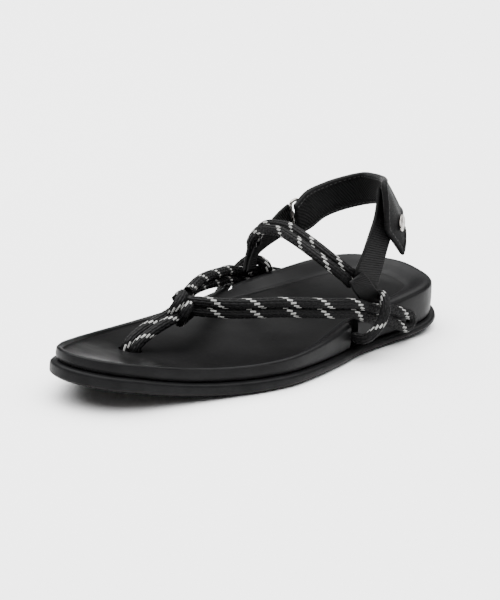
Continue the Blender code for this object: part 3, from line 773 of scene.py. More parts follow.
def anchor_route(rows, side):
    """Anchor loops: out of the slot, up the wall and over the side cord."""
    slot = SLOTS[side]
    return [Vector((rim_x(slot, side) + side * beside * ROPE, y_at(slot) + back * ROPE,
                    rim_z(slot, side) + over * ROPE)) for beside, back, over in rows]


def even(path, step):
    """The same path with equal steps, as an array."""
    line = as_rows(path)
    length = distances(line)
    marks = np.linspace(0, length[-1], max(2, round(length[-1] / step) + 1))
    return np.stack([np.interp(marks, length, line[:, k]) for k in range(3)], axis=1)


def strands(path, wide, spread):
    """Two lines beside a path: wide(share) is the way they lie apart, spread(share) half their distance."""
    line = even(path, PATH_STEP)
    ahead = unit(np.gradient(line, axis=0))
    shares = np.linspace(0, 1, len(line))
    lay = np.array([wide(u) for u in shares], float)
    across = unit(lay - ahead * (ahead * lay).sum(axis=1)[:, None])
    half = np.array([spread(u) for u in shares])[:, None]
    return line + across * half, line - across * half, ahead, across


PATH_STEP = 1 * MM
PITCH = ROPE / 2 - STRAND_LAP / 2
print("strands lie", round(2 * PITCH / MM, 2), "mm apart")

# %% [markdown]
# ## Braided cord
#
# The sheath of such a cord is a braid: bundles of yarn that go over and under each other, with one
# pale tracer that winds round the cord and shows as a few dashes where it comes to the top. It could
# be a bump on a tube, but then its outline stays smooth. So every float, the short stretch of yarn on
# top of the braid, is a small raised patch laid over a dark core. Rows of floats lean left and right
# in turn, as the two ways of the braid do.

# %% Braid sizes
FLOAT_ROWS = 10
FLOAT_PITCH = 4.0 * MM
FLOAT_HALF = 2.3 * MM
FLOAT_WIDTH = 0.82 * MM
FLOAT_LEAN = math.radians(5)
FLOAT_HEIGHT = 0.40 * MM
FLOAT_ROOT = 0.12 * MM
TRACER_EVERY = 5
CORE_RADIUS = ROPE / 2 - FLOAT_HEIGHT
CORE_SIDES = 20
CORE_STEP = 1.5 * MM
LINE_STEP = 0.5 * MM
print("a cord", round(ROPE / MM, 1), "mm thick has", FLOAT_ROWS, "rows of floats")

# %% The shape of one float
S_STEPS, T_STEPS = 6, 7
FLOAT_S, FLOAT_T = np.meshgrid(np.linspace(-1, 1, S_STEPS + 1), np.linspace(-1, 1, T_STEPS + 1),
                               indexing="ij")
FLOAT_SWELL = np.sqrt(np.clip(1 - FLOAT_S**6, 0, 1)) * np.sqrt(np.clip(1 - FLOAT_T**2, 0, 1))
FLOAT_RADIUS = CORE_RADIUS - FLOAT_ROOT + (FLOAT_HEIGHT + FLOAT_ROOT) * FLOAT_SWELL
GRID_ROW = T_STEPS + 1
FLOAT_FACES = [(a, a + 1, a + GRID_ROW + 1, a + GRID_ROW)
               for i in range(S_STEPS) for a in range(i * GRID_ROW, i * GRID_ROW + T_STEPS)]
FLOAT_CREST = [0 < i < S_STEPS - 1 and 0 < j < T_STEPS - 1 for i in range(S_STEPS) for j in range(T_STEPS)]
print("a float has", len(FLOAT_FACES), "faces,", sum(FLOAT_CREST), "of them on its crest")


# %% Places on a cord
def frames(line):
    """Two side vectors at each point, turning as little as possible."""
    ahead = unit(np.gradient(line, axis=0))
    ones = [unit(np.cross(ahead[0], (0.2, 0.3, 1.0)))]
    for way in ahead[1:]:
        ones.append(unit(ones[-1] - way * np.dot(ones[-1], way)))
    ones = np.array(ones)
    return ones, np.cross(ahead, ones)


def on_cord(line, one, two, along, angle, radius):
    """Points on the cord at distances along it, angles round it and radii."""
    step = np.linalg.norm(line[1] - line[0])
    spot = np.clip(along / step, 0, len(line) - 1.001)
    low = spot.astype(int)
    part = (spot - low)[..., None]
    centre = line[low] * (1 - part) + line[low + 1] * part
    a = one[low] * (1 - part) + one[low + 1] * part
    b = two[low] * (1 - part) + two[low + 1] * part
    return centre + (a * np.cos(angle)[..., None] + b * np.sin(angle)[..., None]) * radius[..., None]


def core_of(cord, length):
    """Points and faces of the core, with a cap at either end."""
    rings = max(4, round(length / CORE_STEP))
    marks, angles = np.meshgrid(np.linspace(0, length, rings),
                                np.arange(CORE_SIDES) * math.tau / CORE_SIDES, indexing="ij")
    core = on_cord(*cord, marks, angles, np.full(marks.shape, CORE_RADIUS))
    faces = []
    for r in range(rings - 1):
        for c in range(CORE_SIDES):
            a, b = r * CORE_SIDES + c, r * CORE_SIDES + (c + 1) % CORE_SIDES
            faces.append((a, b, b + CORE_SIDES, a + CORE_SIDES))
    faces += [tuple(r * CORE_SIDES + c for c in range(CORE_SIDES)) for r in (0, rings - 1)]
    return core, faces


# %% Sheath maker
def float_of(cord, length, row, middle):
    """Grid of points of one float."""
    lean = FLOAT_LEAN if row % 2 else -FLOAT_LEAN
    along = np.clip(middle + FLOAT_S * FLOAT_HALF, 0, length)
    angle = (row * math.tau / FLOAT_ROWS
             + (FLOAT_T * FLOAT_WIDTH + FLOAT_S * FLOAT_HALF * math.tan(lean)) / (ROPE / 2))
    return on_cord(*cord, along, angle, FLOAT_RADIUS)


def sheath(name, lines, tracer_starts):
    """Braided cords along several lines: core, floats and pale tracer floats in one mesh."""
    points, faces, kinds = [], [], []

    def take(grid, loops, marks):
        faces.extend(tuple(len(points) + a for a in loop) for loop in loops)
        points.extend(grid.reshape(-1, 3).tolist())
        kinds.extend(marks)

    for path, tracer_start in zip(lines, tracer_starts):
        line = even(path, LINE_STEP)
        cord = (line, *frames(line))
        length = distances(line)[-1]
        core, loops = core_of(cord, length)
        take(core, loops, [0] * len(loops))
        for row in range(FLOAT_ROWS):
            for place in range(int(length / FLOAT_PITCH) + 1):
                middle = (place + 0.5 * (row % 2)) * FLOAT_PITCH
                if 0.4 * FLOAT_HALF <= middle <= length - 0.4 * FLOAT_HALF:
                    shown = (place - row // 2 + tracer_start) % TRACER_EVERY == 0
                    take(float_of(cord, length, row, middle), FLOAT_FACES,
                         [int(shown and crest) for crest in FLOAT_CREST])
    data = bpy.data.meshes.new(name)
    data.from_pydata([tuple(Vector(p) + SHIFT) for p in points], [], faces)
    data.polygons.foreach_set("material_index", kinds)
    data.shade_smooth()
    return add_object(name, data)


# %% Cord finishes
CORD = finish("cord_black", roughness=0.55, specular=0.08)
tones(CORD, (0.0022, 0.0022, 0.0023), (0.0044, 0.0044, 0.0046), 1.2 * MM)
grain(CORD, 0.16 * MM, 0.04 * MM, 2.0)
TRACER = finish("cord_tracer", roughness=0.7, specular=0.2)
tones(TRACER, (0.17, 0.17, 0.165), (0.30, 0.30, 0.29), 2 * MM)
grain(TRACER, 0.16 * MM, 0.04 * MM, 2.0)
print("made", CORD.name, "and", TRACER.name)

# %% [markdown]
# ## Toe post, side cords and knot
#
# Two strands rise from the hole between the toes. At the knot they part: one pair runs to the outer
# side, one to the inner side, and each pair ends in an open bight that the anchor loop holds. The
# knot is two wraps of the same cord thrown slantwise round the bundle. The strands are made as lines
# first, and one braid is laid over all of them.


# %% Lines of the upper
BIGHT_HALF = 1.35 * PITCH
BIGHT_FROM = 0.82
BIGHT_POINTS = 12
MEDIAL_LEAN = 0.55
MEDIAL_UPRIGHT = 1.6


def bight(path, wide):
    """One line that runs out along a path, turns round and comes back beside itself."""
    def spread(u):
        ease = max(0.0, (u - BIGHT_FROM) / (1 - BIGHT_FROM))
        return PITCH + (BIGHT_HALF - PITCH) * math.sin(0.5 * math.pi * ease) ** 2
    one, two, ahead, across = strands(path, wide, spread)
    centre = (one[-1] + two[-1]) / 2
    radius = np.linalg.norm(one[-1] - two[-1]) / 2
    turn = [centre + radius * (across[-1] * math.cos(a) + ahead[-1] * math.sin(a))
            for a in np.linspace(0, math.pi, BIGHT_POINTS + 2)[1:-1]]
    return np.concatenate([one, np.array(turn), two[::-1]])


def free_pair(route, rise, wide):
    """Two strands side by side along a route that touches no wall."""
    path = smooth_path([(a * HALF, y_at(along), up * rise) for a, along, up in route], PATH_STEP)
    return strands(path, wide, lambda u: PITCH)[:2]


def medial_wide(u):
    """The inner pair lies slanting at the knot and upright on the wall."""
    return (MEDIAL_LEAN * max(0.0, 1 - MEDIAL_UPRIGHT * u), 0, 1)


post_lines = free_pair(POST_ROUTE, INSTEP_RISE, lambda u: (1, 0.25, 0))
lateral_line = bight(smooth_path(side_route(LATERAL_ROUTE, 1), PATH_STEP), lambda u: (0, 0, 1))
medial_line = bight(smooth_path(side_route(MEDIAL_ROUTE, -1), PATH_STEP), medial_wide)
print("side cords are", [round(distances(line)[-1] / MM) for line in (lateral_line, medial_line)], "mm long")

# %% Knot and upper
KNOT = Vector((-0.285 * HALF, y_at(0.640), 0.79 * INSTEP_RISE))
KNOT_AXIS = Vector((0.72, 0.40, -0.57)).normalized()
KNOT_RADIUS = 1.06 * ROPE
KNOT_TURNS = 1.02
KNOT_PITCH = 0.85 * ROPE
KNOT_SPREAD = 0.50 * ROPE
KNOT_OVAL = 1.12
KNOT_TUCK = 0.45
KNOT_STEPS = 48
TRACER_STARTS = (0, 2, 1, 3, 2, 4)

side_one = KNOT_AXIS.cross(Vector((0, 0, 1))).normalized()
side_two = KNOT_AXIS.cross(side_one)
knot_lines = []
for lay in (-1, 1):
    line = []
    for k in range(KNOT_STEPS + 1):
        share = k / KNOT_STEPS - 0.5
        turn = math.tau * KNOT_TURNS * share
        tuck = 1 - KNOT_TUCK * abs(2 * share) ** 5
        ring = (side_one * math.cos(turn) * KNOT_OVAL + side_two * math.sin(turn)) * KNOT_RADIUS * tuck
        line.append(KNOT + ring + KNOT_AXIS * (KNOT_PITCH * KNOT_TURNS * share + lay * KNOT_SPREAD))
    knot_lines.append(even(line, LINE_STEP))

upper_lines = [*post_lines, lateral_line, medial_line, *knot_lines]
rope_upper = sheath("cord_upper", upper_lines, TRACER_STARTS)
dress(rope_upper, "rope", CORD, TRACER, replaces=("rope_upper",))

# %% Instep cord and anchor loops
instep = sheath("cord_instep", free_pair(INSTEP_ROUTE, STRAP_RISE, lambda u: (-0.12, 1, 0.35)), (0, 3))
dress(instep, "rope", CORD, TRACER, replaces=("instep_rope",))
for word, side, rows in (("lateral", 1, LATERAL_ANCHOR), ("medial", -1, MEDIAL_ANCHOR)):
    loop = sheath("anchor_cord_" + word, [smooth_path(anchor_route(rows, side), LINE_STEP)], (1,))
    dress(loop, "rope", CORD, TRACER, replaces=("anchor_loop_" + word,))

# %% [markdown]
# ## Woven bands
#
# Webbing is woven flat, with stout weft threads that lie across it, so fine ribs run from edge to
# edge. It could be a flat strip with ribs drawn on it. Here each band is ruled between two edge
# curves, like a pattern piece, and the ribs are real steps in its thickness, so they also show on its
# outline. The tables give one point of either edge a row, in shares of width, length and strap height.

# %% Band tables
LATERAL_BACK_LEG = (
    # front edge, back edge
    ((0.722, 0.2883, 0.3324), (0.722, 0.2663, 0.3309)),
    ((0.742, 0.3049, 0.4180), (0.742, 0.2639, 0.4153)),
    ((0.785, 0.3253, 0.5331), (0.785, 0.2613, 0.5289)),
    ((0.800, 0.3393, 0.6500), (0.795, 0.2549, 0.6206)),
    ((0.775, 0.3141, 0.7900), (0.762, 0.2362, 0.7450)),
    ((0.722, 0.2870, 0.9010), (0.716, 0.2156, 0.8400)),
    ((0.655, 0.2588, 1.0030), (0.645, 0.1985, 0.9170)),
    ((0.590, 0.2390, 1.1070), (0.563, 0.1900, 0.9790)),
    ((0.548, 0.2275, 1.1960), (0.490, 0.1890, 1.0420)),
)
LATERAL_FRONT_LEG = (
    ((0.762, 0.2903, 0.3325), (0.775, 0.2533, 0.3546)),
    ((0.790, 0.3159, 0.4241), (0.835, 0.2616, 0.4266)),
    ((0.830, 0.3474, 0.5238), (0.852, 0.2885, 0.5226)),
    ((0.846, 0.3590, 0.5700), (0.852, 0.3089, 0.6015)),
    ((0.840, 0.3656, 0.6090), (0.838, 0.3264, 0.6577)),
)
MEDIAL_BACK_LEG = (
    ((-0.822, 0.3360, 0.3916), (-0.822, 0.3060, 0.3896)),
    ((-0.872, 0.3196, 0.4724), (-0.872, 0.2920, 0.4880)),
    ((-0.925, 0.2871, 0.5785), (-0.925, 0.2255, 0.5480)),
    ((-0.945, 0.2546, 0.6747), (-0.950, 0.1873, 0.5640)),
    ((-0.965, 0.2182, 0.7481), (-0.968, 0.1551, 0.5705)),
    ((-0.962, 0.1880, 0.8003), (-0.962, 0.1370, 0.6018)),
)
MEDIAL_FRONT_LEG = (
    ((-0.856, 0.3400, 0.3919), (-0.856, 0.3050, 0.3896)),
    ((-0.908, 0.3246, 0.4835), (-0.908, 0.2866, 0.4810)),
    ((-0.960, 0.3062, 0.5644), (-0.960, 0.2682, 0.5618)),
)
HEEL_STRAP = (
    # upper edge, lower edge
    ((-0.850, 0.1919, 0.8060), (-0.845, 0.1741, 0.5718)),
    ((-0.825, 0.1595, 0.9014), (-0.815, 0.1460, 0.5970)),
    ((-0.775, 0.1152, 0.9461), (-0.775, 0.1096, 0.6672)),
    ((-0.680, 0.0840, 0.9830), (-0.690, 0.0764, 0.7116)),
    ((-0.475, 0.0618, 1.0368), (-0.485, 0.0531, 0.7696)),
    ((-0.215, 0.0806, 1.0781), (-0.235, 0.0508, 0.8237)),
    ((0.045, 0.1124, 1.1193), (0.045, 0.0687, 0.8595)),
    ((0.280, 0.1581, 1.1776), (0.300, 0.0947, 0.8613)),
    ((0.495, 0.2018, 1.2293), (0.520, 0.1457, 0.8538)),
    ((0.655, 0.2377, 1.2479), (0.705, 0.1718, 0.8382)),
    ((0.740, 0.2473, 1.1348), (0.775, 0.1831, 0.7696)),
    ((0.775, 0.2490, 0.9994), (0.815, 0.1923, 0.7291)),
    ((0.795, 0.2494, 0.9074), (0.845, 0.2015, 0.6983)),
)


# %% Edges of a band
def at(across, along, up):
    """A point given in shares of half width, length and strap height."""
    return Vector((across * HALF, y_at(along), up * STRAP_RISE))


EDGE_SAMPLES = 24
NORMAL_TURNS = 6
THINNEST = 0.0005 * MM


def edge_lines(rows, step):
    """Distances along a band and the points of both its edges there."""
    pair = []
    for pick in (0, 1):
        knots = [at(*row[pick]) for row in rows]
        ends = [knots[0] * 2 - knots[1]] + knots + [knots[-1] * 2 - knots[-2]]
        line = [catmull(*ends[k - 1:k + 3], s / EDGE_SAMPLES)
                for k in range(1, len(ends) - 2) for s in range(EDGE_SAMPLES)]
        pair.append(as_rows(line + [knots[-1]]))
    length = distances((pair[0] + pair[1]) / 2)
    marks = np.linspace(0, length[-1], round(length[-1] / step) + 1)
    first, second = (np.stack([np.interp(marks, length, p[:, k]) for k in range(3)], axis=1) for p in pair)
    return marks, first, second


def smooth_step(value, low, high):
    """From 0 at low to 1 at high, with soft ends."""
    part = np.clip((value - low) / (high - low), 0, 1)
    return part * part * (3 - 2 * part)


def band_frame(rows, step):
    """Edges, outward normals and distances of a band, for the band itself and what is sewn on it."""
    marks, first, second = edge_lines(rows, step)
    side = second - first
    ahead = np.gradient((first + second) / 2, axis=0)
    normal = unit(np.cross(ahead, side))
    for _ in range(NORMAL_TURNS):
        normal[1:-1] = (normal[:-2] + 2 * normal[1:-1] + normal[2:]) / 4
    return marks, first, side, unit(normal)


def first_kind(sign, depth, mark, total):
    """A band of one material."""
    return 0


# %% Band maker
def band(name, rows, step, columns, height, kind_of=first_kind):
    """Closed band; height(depth, mark, total, across) is half its thickness, depth counts from an edge."""
    marks, first, side, normal = band_frame(rows, step)
    width = np.linalg.norm(side, axis=1)
    shares = 0.5 - 0.5 * np.cos(np.linspace(0, math.pi, columns + 1))
    across = shares[None, :] * width[:, None]
    depth = np.minimum(shares, 1 - shares)[None, :] * width[:, None]
    mark = np.repeat(marks[:, None], columns + 1, axis=1)
    middle = first[:, None, :] + side[:, None, :] * shares[None, :, None]
    points, uvs, faces, kinds = [], [], [], []
    size = (columns + 1) * len(marks)
    rise = height(depth, mark, marks[-1], across)
    for sign in (1, -1):
        grid = middle + normal[:, None, :] * (sign * rise)[..., None]
        points.append(grid.reshape(-1, 3))
        uvs.append(np.stack([across, mark], axis=-1).reshape(-1, 2))
        start = 0 if sign > 0 else size
        for r in range(len(marks) - 1):
            for c in range(columns):
                a = start + r * (columns + 1) + c
                loop = (a, a + 1, a + columns + 2, a + columns + 1)
                faces.append(loop if sign > 0 else loop[::-1])
                kinds.append(kind_of(sign, depth[r, c], mark[r, c], marks[-1]))
    for r in (0, len(marks) - 1):
        for c in range(columns):
            a = r * (columns + 1) + c
            loop = (a, size + a, size + a + 1, a + 1)
            faces.append(loop if r == 0 else loop[::-1])
            kinds.append(kinds[c] if r == 0 else kinds[-1])
    data = bpy.data.meshes.new(name)
    data.from_pydata((np.concatenate(points) + np.array(SHIFT)).tolist(), [], faces)
    corner = np.empty(len(data.loops), dtype=np.int32)
    data.loops.foreach_get("vertex_index", corner)
    layer = data.uv_layers.new(name="weave")
    layer.data.foreach_set("uv", np.concatenate(uvs)[corner].astype(np.float32).ravel())
    data.polygons.foreach_set("material_index", kinds)
    weld(data, THINNEST)
    return add_object(name, data)


# %% [markdown]
# ## Cloth finishes
#
# Ribs of a weave catch light on their crests and stay black in their grooves. The webbing's ribs are
# geometry, so its material needs only yarn grain. The heel strap's lining is a twill, whose slanting
# lines are finer than a mesh should carry: there a wave texture, laid in the band's own coordinates,
# gives the bump and also paints shade into the grooves and a highlight onto the crests. The bound edge is a
# smoother tape.


# %% Weave helper
# A wave texture of scale 1 has this many lines in one unit of length
WAVE_PER_UNIT = 20 / math.tau


def weave_of(made, turn, pitch):
    """A wave laid in the band's own coordinates: lines at an angle, one every pitch."""
    tree = made.node_tree
    place = tree.nodes.new("ShaderNodeUVMap")
    place.uv_map = "weave"
    turned = node_in(made, "ShaderNodeMapping", Rotation=(0, 0, turn))
    wave = node_in(made, "ShaderNodeTexWave", Scale=1 / pitch / WAVE_PER_UNIT, Distortion=0.6, Detail=1.0,
                   Detail_Scale=2.0)
    tree.links.new(place.outputs["UV"], turned.inputs["Vector"])
    tree.links.new(turned.outputs["Vector"], wave.inputs["Vector"])
    return wave.outputs["Fac"]


# %% Cloth finishes
TWILL_TURN = math.radians(52)
TWILL_PITCH = 1.3 * MM
COVER_TURN = math.radians(45)
COVER_PITCH = 0.9 * MM
TAPE_TURN = math.radians(90)
TAPE_PITCH = 0.8 * MM

WEBBING = finish("webbing_black", roughness=0.58, specular=0.08)
tones(WEBBING, (0.0015, 0.0015, 0.0016), (0.0028, 0.0028, 0.0029), 1.6 * MM)
grain(WEBBING, 0.22 * MM, 0.05 * MM, 2.0)

LINING = finish("lining_twill", roughness=0.75, specular=0.12)
twill_relief_and_painted_shade = weave_of(LINING, TWILL_TURN, TWILL_PITCH)
# The same wave sets the colour: painted shade in the twill's grooves, a painted highlight on its crests.
colour_from(LINING, twill_relief_and_painted_shade, (0.0007, 0.0007, 0.0008), (0.0032, 0.0032, 0.0034), (0.2, 0.85))
relief(LINING, twill_relief_and_painted_shade, 0.22 * MM)
grain(LINING, 0.3 * MM, 0.06 * MM, 2.0)

COVER = finish("strap_cover", roughness=0.6, specular=0.08)
tones(COVER, (0.0016, 0.0016, 0.0017), (0.0028, 0.0028, 0.0030), 3 * MM)
relief(COVER, weave_of(COVER, COVER_TURN, COVER_PITCH), 0.10 * MM)
grain(COVER, 0.25 * MM, 0.05 * MM, 2.0)

BINDING = finish("edge_tape", roughness=0.55, specular=0.08)
tones(BINDING, (0.0018, 0.0018, 0.0019), (0.0032, 0.0032, 0.0034), 2 * MM)
relief(BINDING, weave_of(BINDING, TAPE_TURN, TAPE_PITCH), 0.08 * MM)

THREAD = finish("thread_black", roughness=0.45, specular=0.3)
tones(THREAD, (0.0030, 0.0030, 0.0032), (0.0060, 0.0060, 0.0063), 1 * MM)
print("cloth finishes", [m.name for m in (WEBBING, LINING, COVER, BINDING, THREAD)])

# %% [markdown]
# ## Webbing legs
#
# On either side one length of webbing loops through the cord and is folded over itself, so that two
# legs cross at the foot of a V. Both legs are bands of the same weave. The selvedge, the last
# millimetre at each edge, is woven tighter and carries no ribs.

# %% Make the webbing
RIB_PITCH = 1.25 * MM
RIB_SHARE = 0.30
RIB_SLANT = 0.16
RIB_STEP = RIB_PITCH / 6
SELVEDGE = 0.9 * MM
WEB_COLUMNS = 22


def rounded_edge(depth, radius):
    """From 0 at an edge to 1 at a radius from it, as a quarter circle."""
    return np.sqrt(np.clip(1 - (1 - np.clip(depth / radius, 0, 1))**2, 0, 1))


def webbing_height(depth, mark, total, across):
    """Half thickness of the webbing: ribs between two plain selvedges."""
    rib = np.abs(np.sin(math.pi * (mark + RIB_SLANT * across) / RIB_PITCH))
    inside = smooth_step(depth, 0.6 * SELVEDGE, 1.2 * SELVEDGE)
    ends = np.sqrt(np.clip(np.minimum(mark, total - mark) / (0.4 * WEB_THICKNESS), 0.06, 1))
    edge = rounded_edge(depth, 0.5 * WEB_THICKNESS)
    return WEB_THICKNESS / 2 * edge * (1 - RIB_SHARE * inside * (1 - rib)) * ends


def joined(name, parts):
    """Make one object of several."""
    keep = bmesh.new()
    for part in parts:
        keep.from_mesh(part.data)
    data = bpy.data.meshes.new(name)
    keep.to_mesh(data)
    keep.free()
    data.shade_smooth()
    for part in parts:
        bpy.data.objects.remove(part)
    return add_object(name, data)


for word, legs in (("lateral", (LATERAL_BACK_LEG, LATERAL_FRONT_LEG)),
                   ("medial", (MEDIAL_BACK_LEG, MEDIAL_FRONT_LEG))):
    web = joined("webbing_legs_" + word,
                 [band("leg", rows, RIB_STEP, WEB_COLUMNS, webbing_height) for rows in legs])
    dress(web, "webbing", WEBBING, replaces=("webbing_" + word,))

# %% [markdown]
# ## Heel strap
#
# The strap is a padded band: a twill lining inside, a smooth cover outside, and a tape folded over
# both edges and sewn down. The pad swells a little between the tapes. Its free end is the part that
# opens: it lies over the outer webbing, held by hooks and loops between the two, and has a square
# line of stitches round its end.

# %% Make the heel strap
TAPE = 2.6 * MM
PAD_DROP = 0.42 * MM
PAD_SWELL = 0.30 * MM
BLUNT_END = 0.12 * MM
STRAP_STEP = 0.55 * MM
STRAP_COLUMNS = 56


def strap_height(depth, mark, total, across):
    """Half thickness of the strap: a swelling pad between raised tapes."""
    half = STRAP_THICKNESS / 2
    edge = np.minimum(depth, np.minimum(mark, total - mark) + BLUNT_END)
    border = np.minimum(depth, total - mark)
    inside = smooth_step(border, TAPE - 0.15 * MM, TAPE + 0.35 * MM)
    swell = PAD_SWELL * np.clip((border - TAPE) / (3 * TAPE), 0, 1) ** 0.6
    return half * rounded_edge(edge, 0.75 * half) - inside * (PAD_DROP - swell)


def strap_kind(sign, depth, mark, total):
    """Tape at the edges and the free end, cover outside, lining inside."""
    if min(depth, total - mark) < TAPE:
        return 2
    return 0 if sign > 0 else 1


strap = band("heel_band", HEEL_STRAP, STRAP_STEP, STRAP_COLUMNS, strap_height, strap_kind)
dress(strap, "strap_cloth", COVER, LINING, BINDING, replaces=("heel_strap",))

# %% [markdown]
# ## Ring, badge and stitches
#
# Three small things finish the strap. A rounded metal loop joins it to the inner webbing, a plain oval
# plate sits on its free end, and seams run beside each tape. A seam could be a bump, but real thread
# stands proud and throws a tiny shadow, so every stitch is a short bar that dips at both ends.


# %% Metal finish
METAL = finish("satin_metal", roughness=0.28, specular=0.5, metallic=1.0)
tones(METAL, (0.20, 0.185, 0.17), (0.34, 0.32, 0.30), 3 * MM)
gloss_drift(METAL, 0.22, 0.38, 2 * MM)
grain(METAL, 0.5 * MM, 0.02 * MM)
print("made", METAL.name)


# %% Ways of the strap
def strap_ways(row, after, outer_side):
    """Run, width and outward ways of the strap between two rows of its table."""
    a, b = (at(*p) for p in row)
    c, d = (at(*p) for p in after)
    width_way = (b - a).normalized()
    run_way = (c + d - a - b).normalized()
    out_way = run_way.cross(width_way).normalized()
    if out_way.x * outer_side < 0:
        out_way = -out_way
    run_way = (run_way - width_way * run_way.dot(width_way)).normalized()
    return run_way, width_way, out_way


def ring_tube(name, path, radius, sides):
    """Round tube along a closed flat path."""
    line = as_rows(path)
    count = len(line)
    ahead = unit(np.roll(line, -1, axis=0) - np.roll(line, 1, axis=0))
    flat_way = unit(np.cross(line[count // 3] - line[0], line[2 * count // 3] - line[0]))
    points, faces = [], []
    for k in range(count):
        one = unit(np.cross(ahead[k], flat_way))
        n = (k + 1) % count
        for s in range(sides):
            turn = math.tau * s / sides
            points.append(line[k] + (one * math.cos(turn) + flat_way * math.sin(turn)) * radius)
            m = (s + 1) % sides
            faces.append((k * sides + s, k * sides + m, n * sides + m, n * sides + s))
    return mesh_piece(name, points, faces)


# %% Metal loop
RING_WIRE = 1.8 * MM
RING_REACH = 7.5 * MM
RING_AHEAD = 0.35
RING_CORNER = 0.8
RING_CORNER_STEPS = 7
RING_SIDES = 14

top, low = (at(*p) for p in HEEL_STRAP[0])
run_way, down_way, out_way = strap_ways(HEEL_STRAP[0], HEEL_STRAP[1], -1)
up_way = -down_way
ring_centre = ((top + low) / 2 + run_way * RING_REACH * RING_AHEAD
               + out_way * (STRAP_THICKNESS / 2 + GAP + RING_WIRE / 2))
tall = (top - low).length / 2 + GAP + RING_WIRE / 2
wide = RING_REACH / 2 - RING_WIRE / 2
corner = RING_CORNER * wide
ring_path = []
for sign_up, sign_run in ((1, 1), (-1, 1), (-1, -1), (1, -1)):
    for s in range(RING_CORNER_STEPS + 1):
        a = math.pi / 2 * s / RING_CORNER_STEPS
        if sign_up * sign_run > 0:
            a = math.pi / 2 - a
        ring_path.append(ring_centre + up_way * sign_up * (tall - corner + corner * math.sin(a))
                         + run_way * sign_run * (wide - corner + corner * math.cos(a)))
ring_loop = ring_tube("ring_loop", ring_path, RING_WIRE / 2, RING_SIDES)
dress(ring_loop, "metal", METAL, replaces=("strap_ring",))

# %% Oval badge
BADGE_LENGTH = 12 * MM
BADGE_WIDTH = 6.5 * MM
BADGE_THICKNESS = 1.0 * MM
BADGE_DROP = 6.4 * MM
BADGE_SIDES = 64
BADGE_PROFILE = (
    # scale, level
    (0.00, -0.50), (0.86, -0.50), (0.97, -0.34), (1.00, 0.00), (0.97, 0.22), (0.90, 0.34),
    (0.84, 0.30), (0.79, 0.24), (0.73, 0.27), (0.55, 0.36), (0.30, 0.45), (0.00, 0.50),
)


def oval_plate(name, centre, long_way, wide_way, out_way):
    """Closed plate of oval rings; the first and the last ring shrink to a point."""
    points, faces = [], []
    for scale, level in BADGE_PROFILE:
        for k in range(BADGE_SIDES):
            turn = math.tau * k / BADGE_SIDES
            points.append(centre + long_way * BADGE_LENGTH / 2 * scale * math.cos(turn)
                          + wide_way * BADGE_WIDTH / 2 * scale * math.sin(turn)
                          + out_way * level * BADGE_THICKNESS)
    last = len(BADGE_PROFILE) - 2
    for r in range(last + 1):
        near, far = r * BADGE_SIDES, (r + 1) * BADGE_SIDES
        for k in range(BADGE_SIDES):
            n = (k + 1) % BADGE_SIDES
            if r == 0:
                faces.append((near, far + n, far + k))
            elif r == last:
                faces.append((near + k, near + n, far))
            else:
                faces.append((near + k, near + n, far + n, far + k))
    return mesh_piece(name, points, faces)


badge_rows = HEEL_STRAP[-4:-2]
run_way, wide_way, out_way = strap_ways(*badge_rows, 1)
corners = [at(*p) for row in badge_rows for p in row]
badge_centre = (sum(corners, Vector()) / 4 + wide_way * BADGE_DROP
                + out_way * (STRAP_THICKNESS / 2 + GAP + 0.55 * BADGE_THICKNESS))
badge = oval_plate("badge_oval", badge_centre, run_way, wide_way, out_way)
dress(badge, "metal", METAL, replaces=("badge_plate",))

# %% Stitches
STITCH = 2.0 * MM
STITCH_PITCH = 2.7 * MM
THREAD_RADIUS = 0.24 * MM
STITCH_SHAPE = ((-1.0, 0.35), (-0.8, 0.8), (-0.3, 1.0), (0.3, 1.0), (0.8, 0.8), (1.0, 0.35))
THREAD_SIDES = 6


def stitches(name, spots):
    """Thread bars at places given as (point, direction, outward normal)."""
    points, faces = [], []
    for spot, along, out in spots:
        side = unit(np.cross(along, out))
        start = len(points)
        for share, swell in STITCH_SHAPE:
            centre = spot + along * share * STITCH / 2 - out * (1 - swell) * THREAD_RADIUS
            for s in range(THREAD_SIDES):
                turn = math.tau * s / THREAD_SIDES
                points.append(centre + (side * math.cos(turn) + out * math.sin(turn)) * THREAD_RADIUS * swell)
        for r in range(len(STITCH_SHAPE) - 1):
            for s in range(THREAD_SIDES):
                m = (s + 1) % THREAD_SIDES
                low_ring, high_ring = start + r * THREAD_SIDES, start + (r + 1) * THREAD_SIDES
                faces.append((low_ring + s, low_ring + m, high_ring + m, high_ring + s))
        faces.append(tuple(start + s for s in range(THREAD_SIDES)))
        last = start + (len(STITCH_SHAPE) - 1) * THREAD_SIDES
        faces.append(tuple(last + s for s in range(THREAD_SIDES)))
    return mesh_piece(name, points, faces)


# %% Seams along the strap
SEAM_INSET = TAPE - 0.7 * MM
SEAM_START = 1.5 * MM
SEAM_STEP = 0.3 * MM
SEAM_HEIGHT = STRAP_THICKNESS / 2 - 0.05 * MM
seam_marks, seam_first, seam_side, seam_normal = band_frame(HEEL_STRAP, SEAM_STEP)


def edge_spots(inset, sign):
    """Stitches beside one edge of the strap; a negative inset counts from the other edge."""
    width = np.linalg.norm(seam_side, axis=1)[:, None]
    share = inset / width if inset > 0 else 1 + inset / width
    line = seam_first + seam_side * share + seam_normal * sign * SEAM_HEIGHT
    ahead = unit(np.gradient(line, axis=0))
    length = distances(line)
    marks = np.arange(SEAM_START, length[-1] - SEAM_INSET, STITCH_PITCH)
    return [(line[k], ahead[k], seam_normal[k] * sign) for k in np.searchsorted(length, marks)]


def end_spots(sign):
    """Stitches across the strap near its free end."""
    k = int(np.searchsorted(seam_marks, seam_marks[-1] - SEAM_INSET))
    width = np.linalg.norm(seam_side[k])
    along = seam_side[k] / width
    margin = SEAM_INSET + STITCH / 2
    return [(seam_first[k] + along * s + seam_normal[k] * sign * SEAM_HEIGHT, along, seam_normal[k] * sign)
            for s in np.arange(margin, width - margin, STITCH_PITCH)]


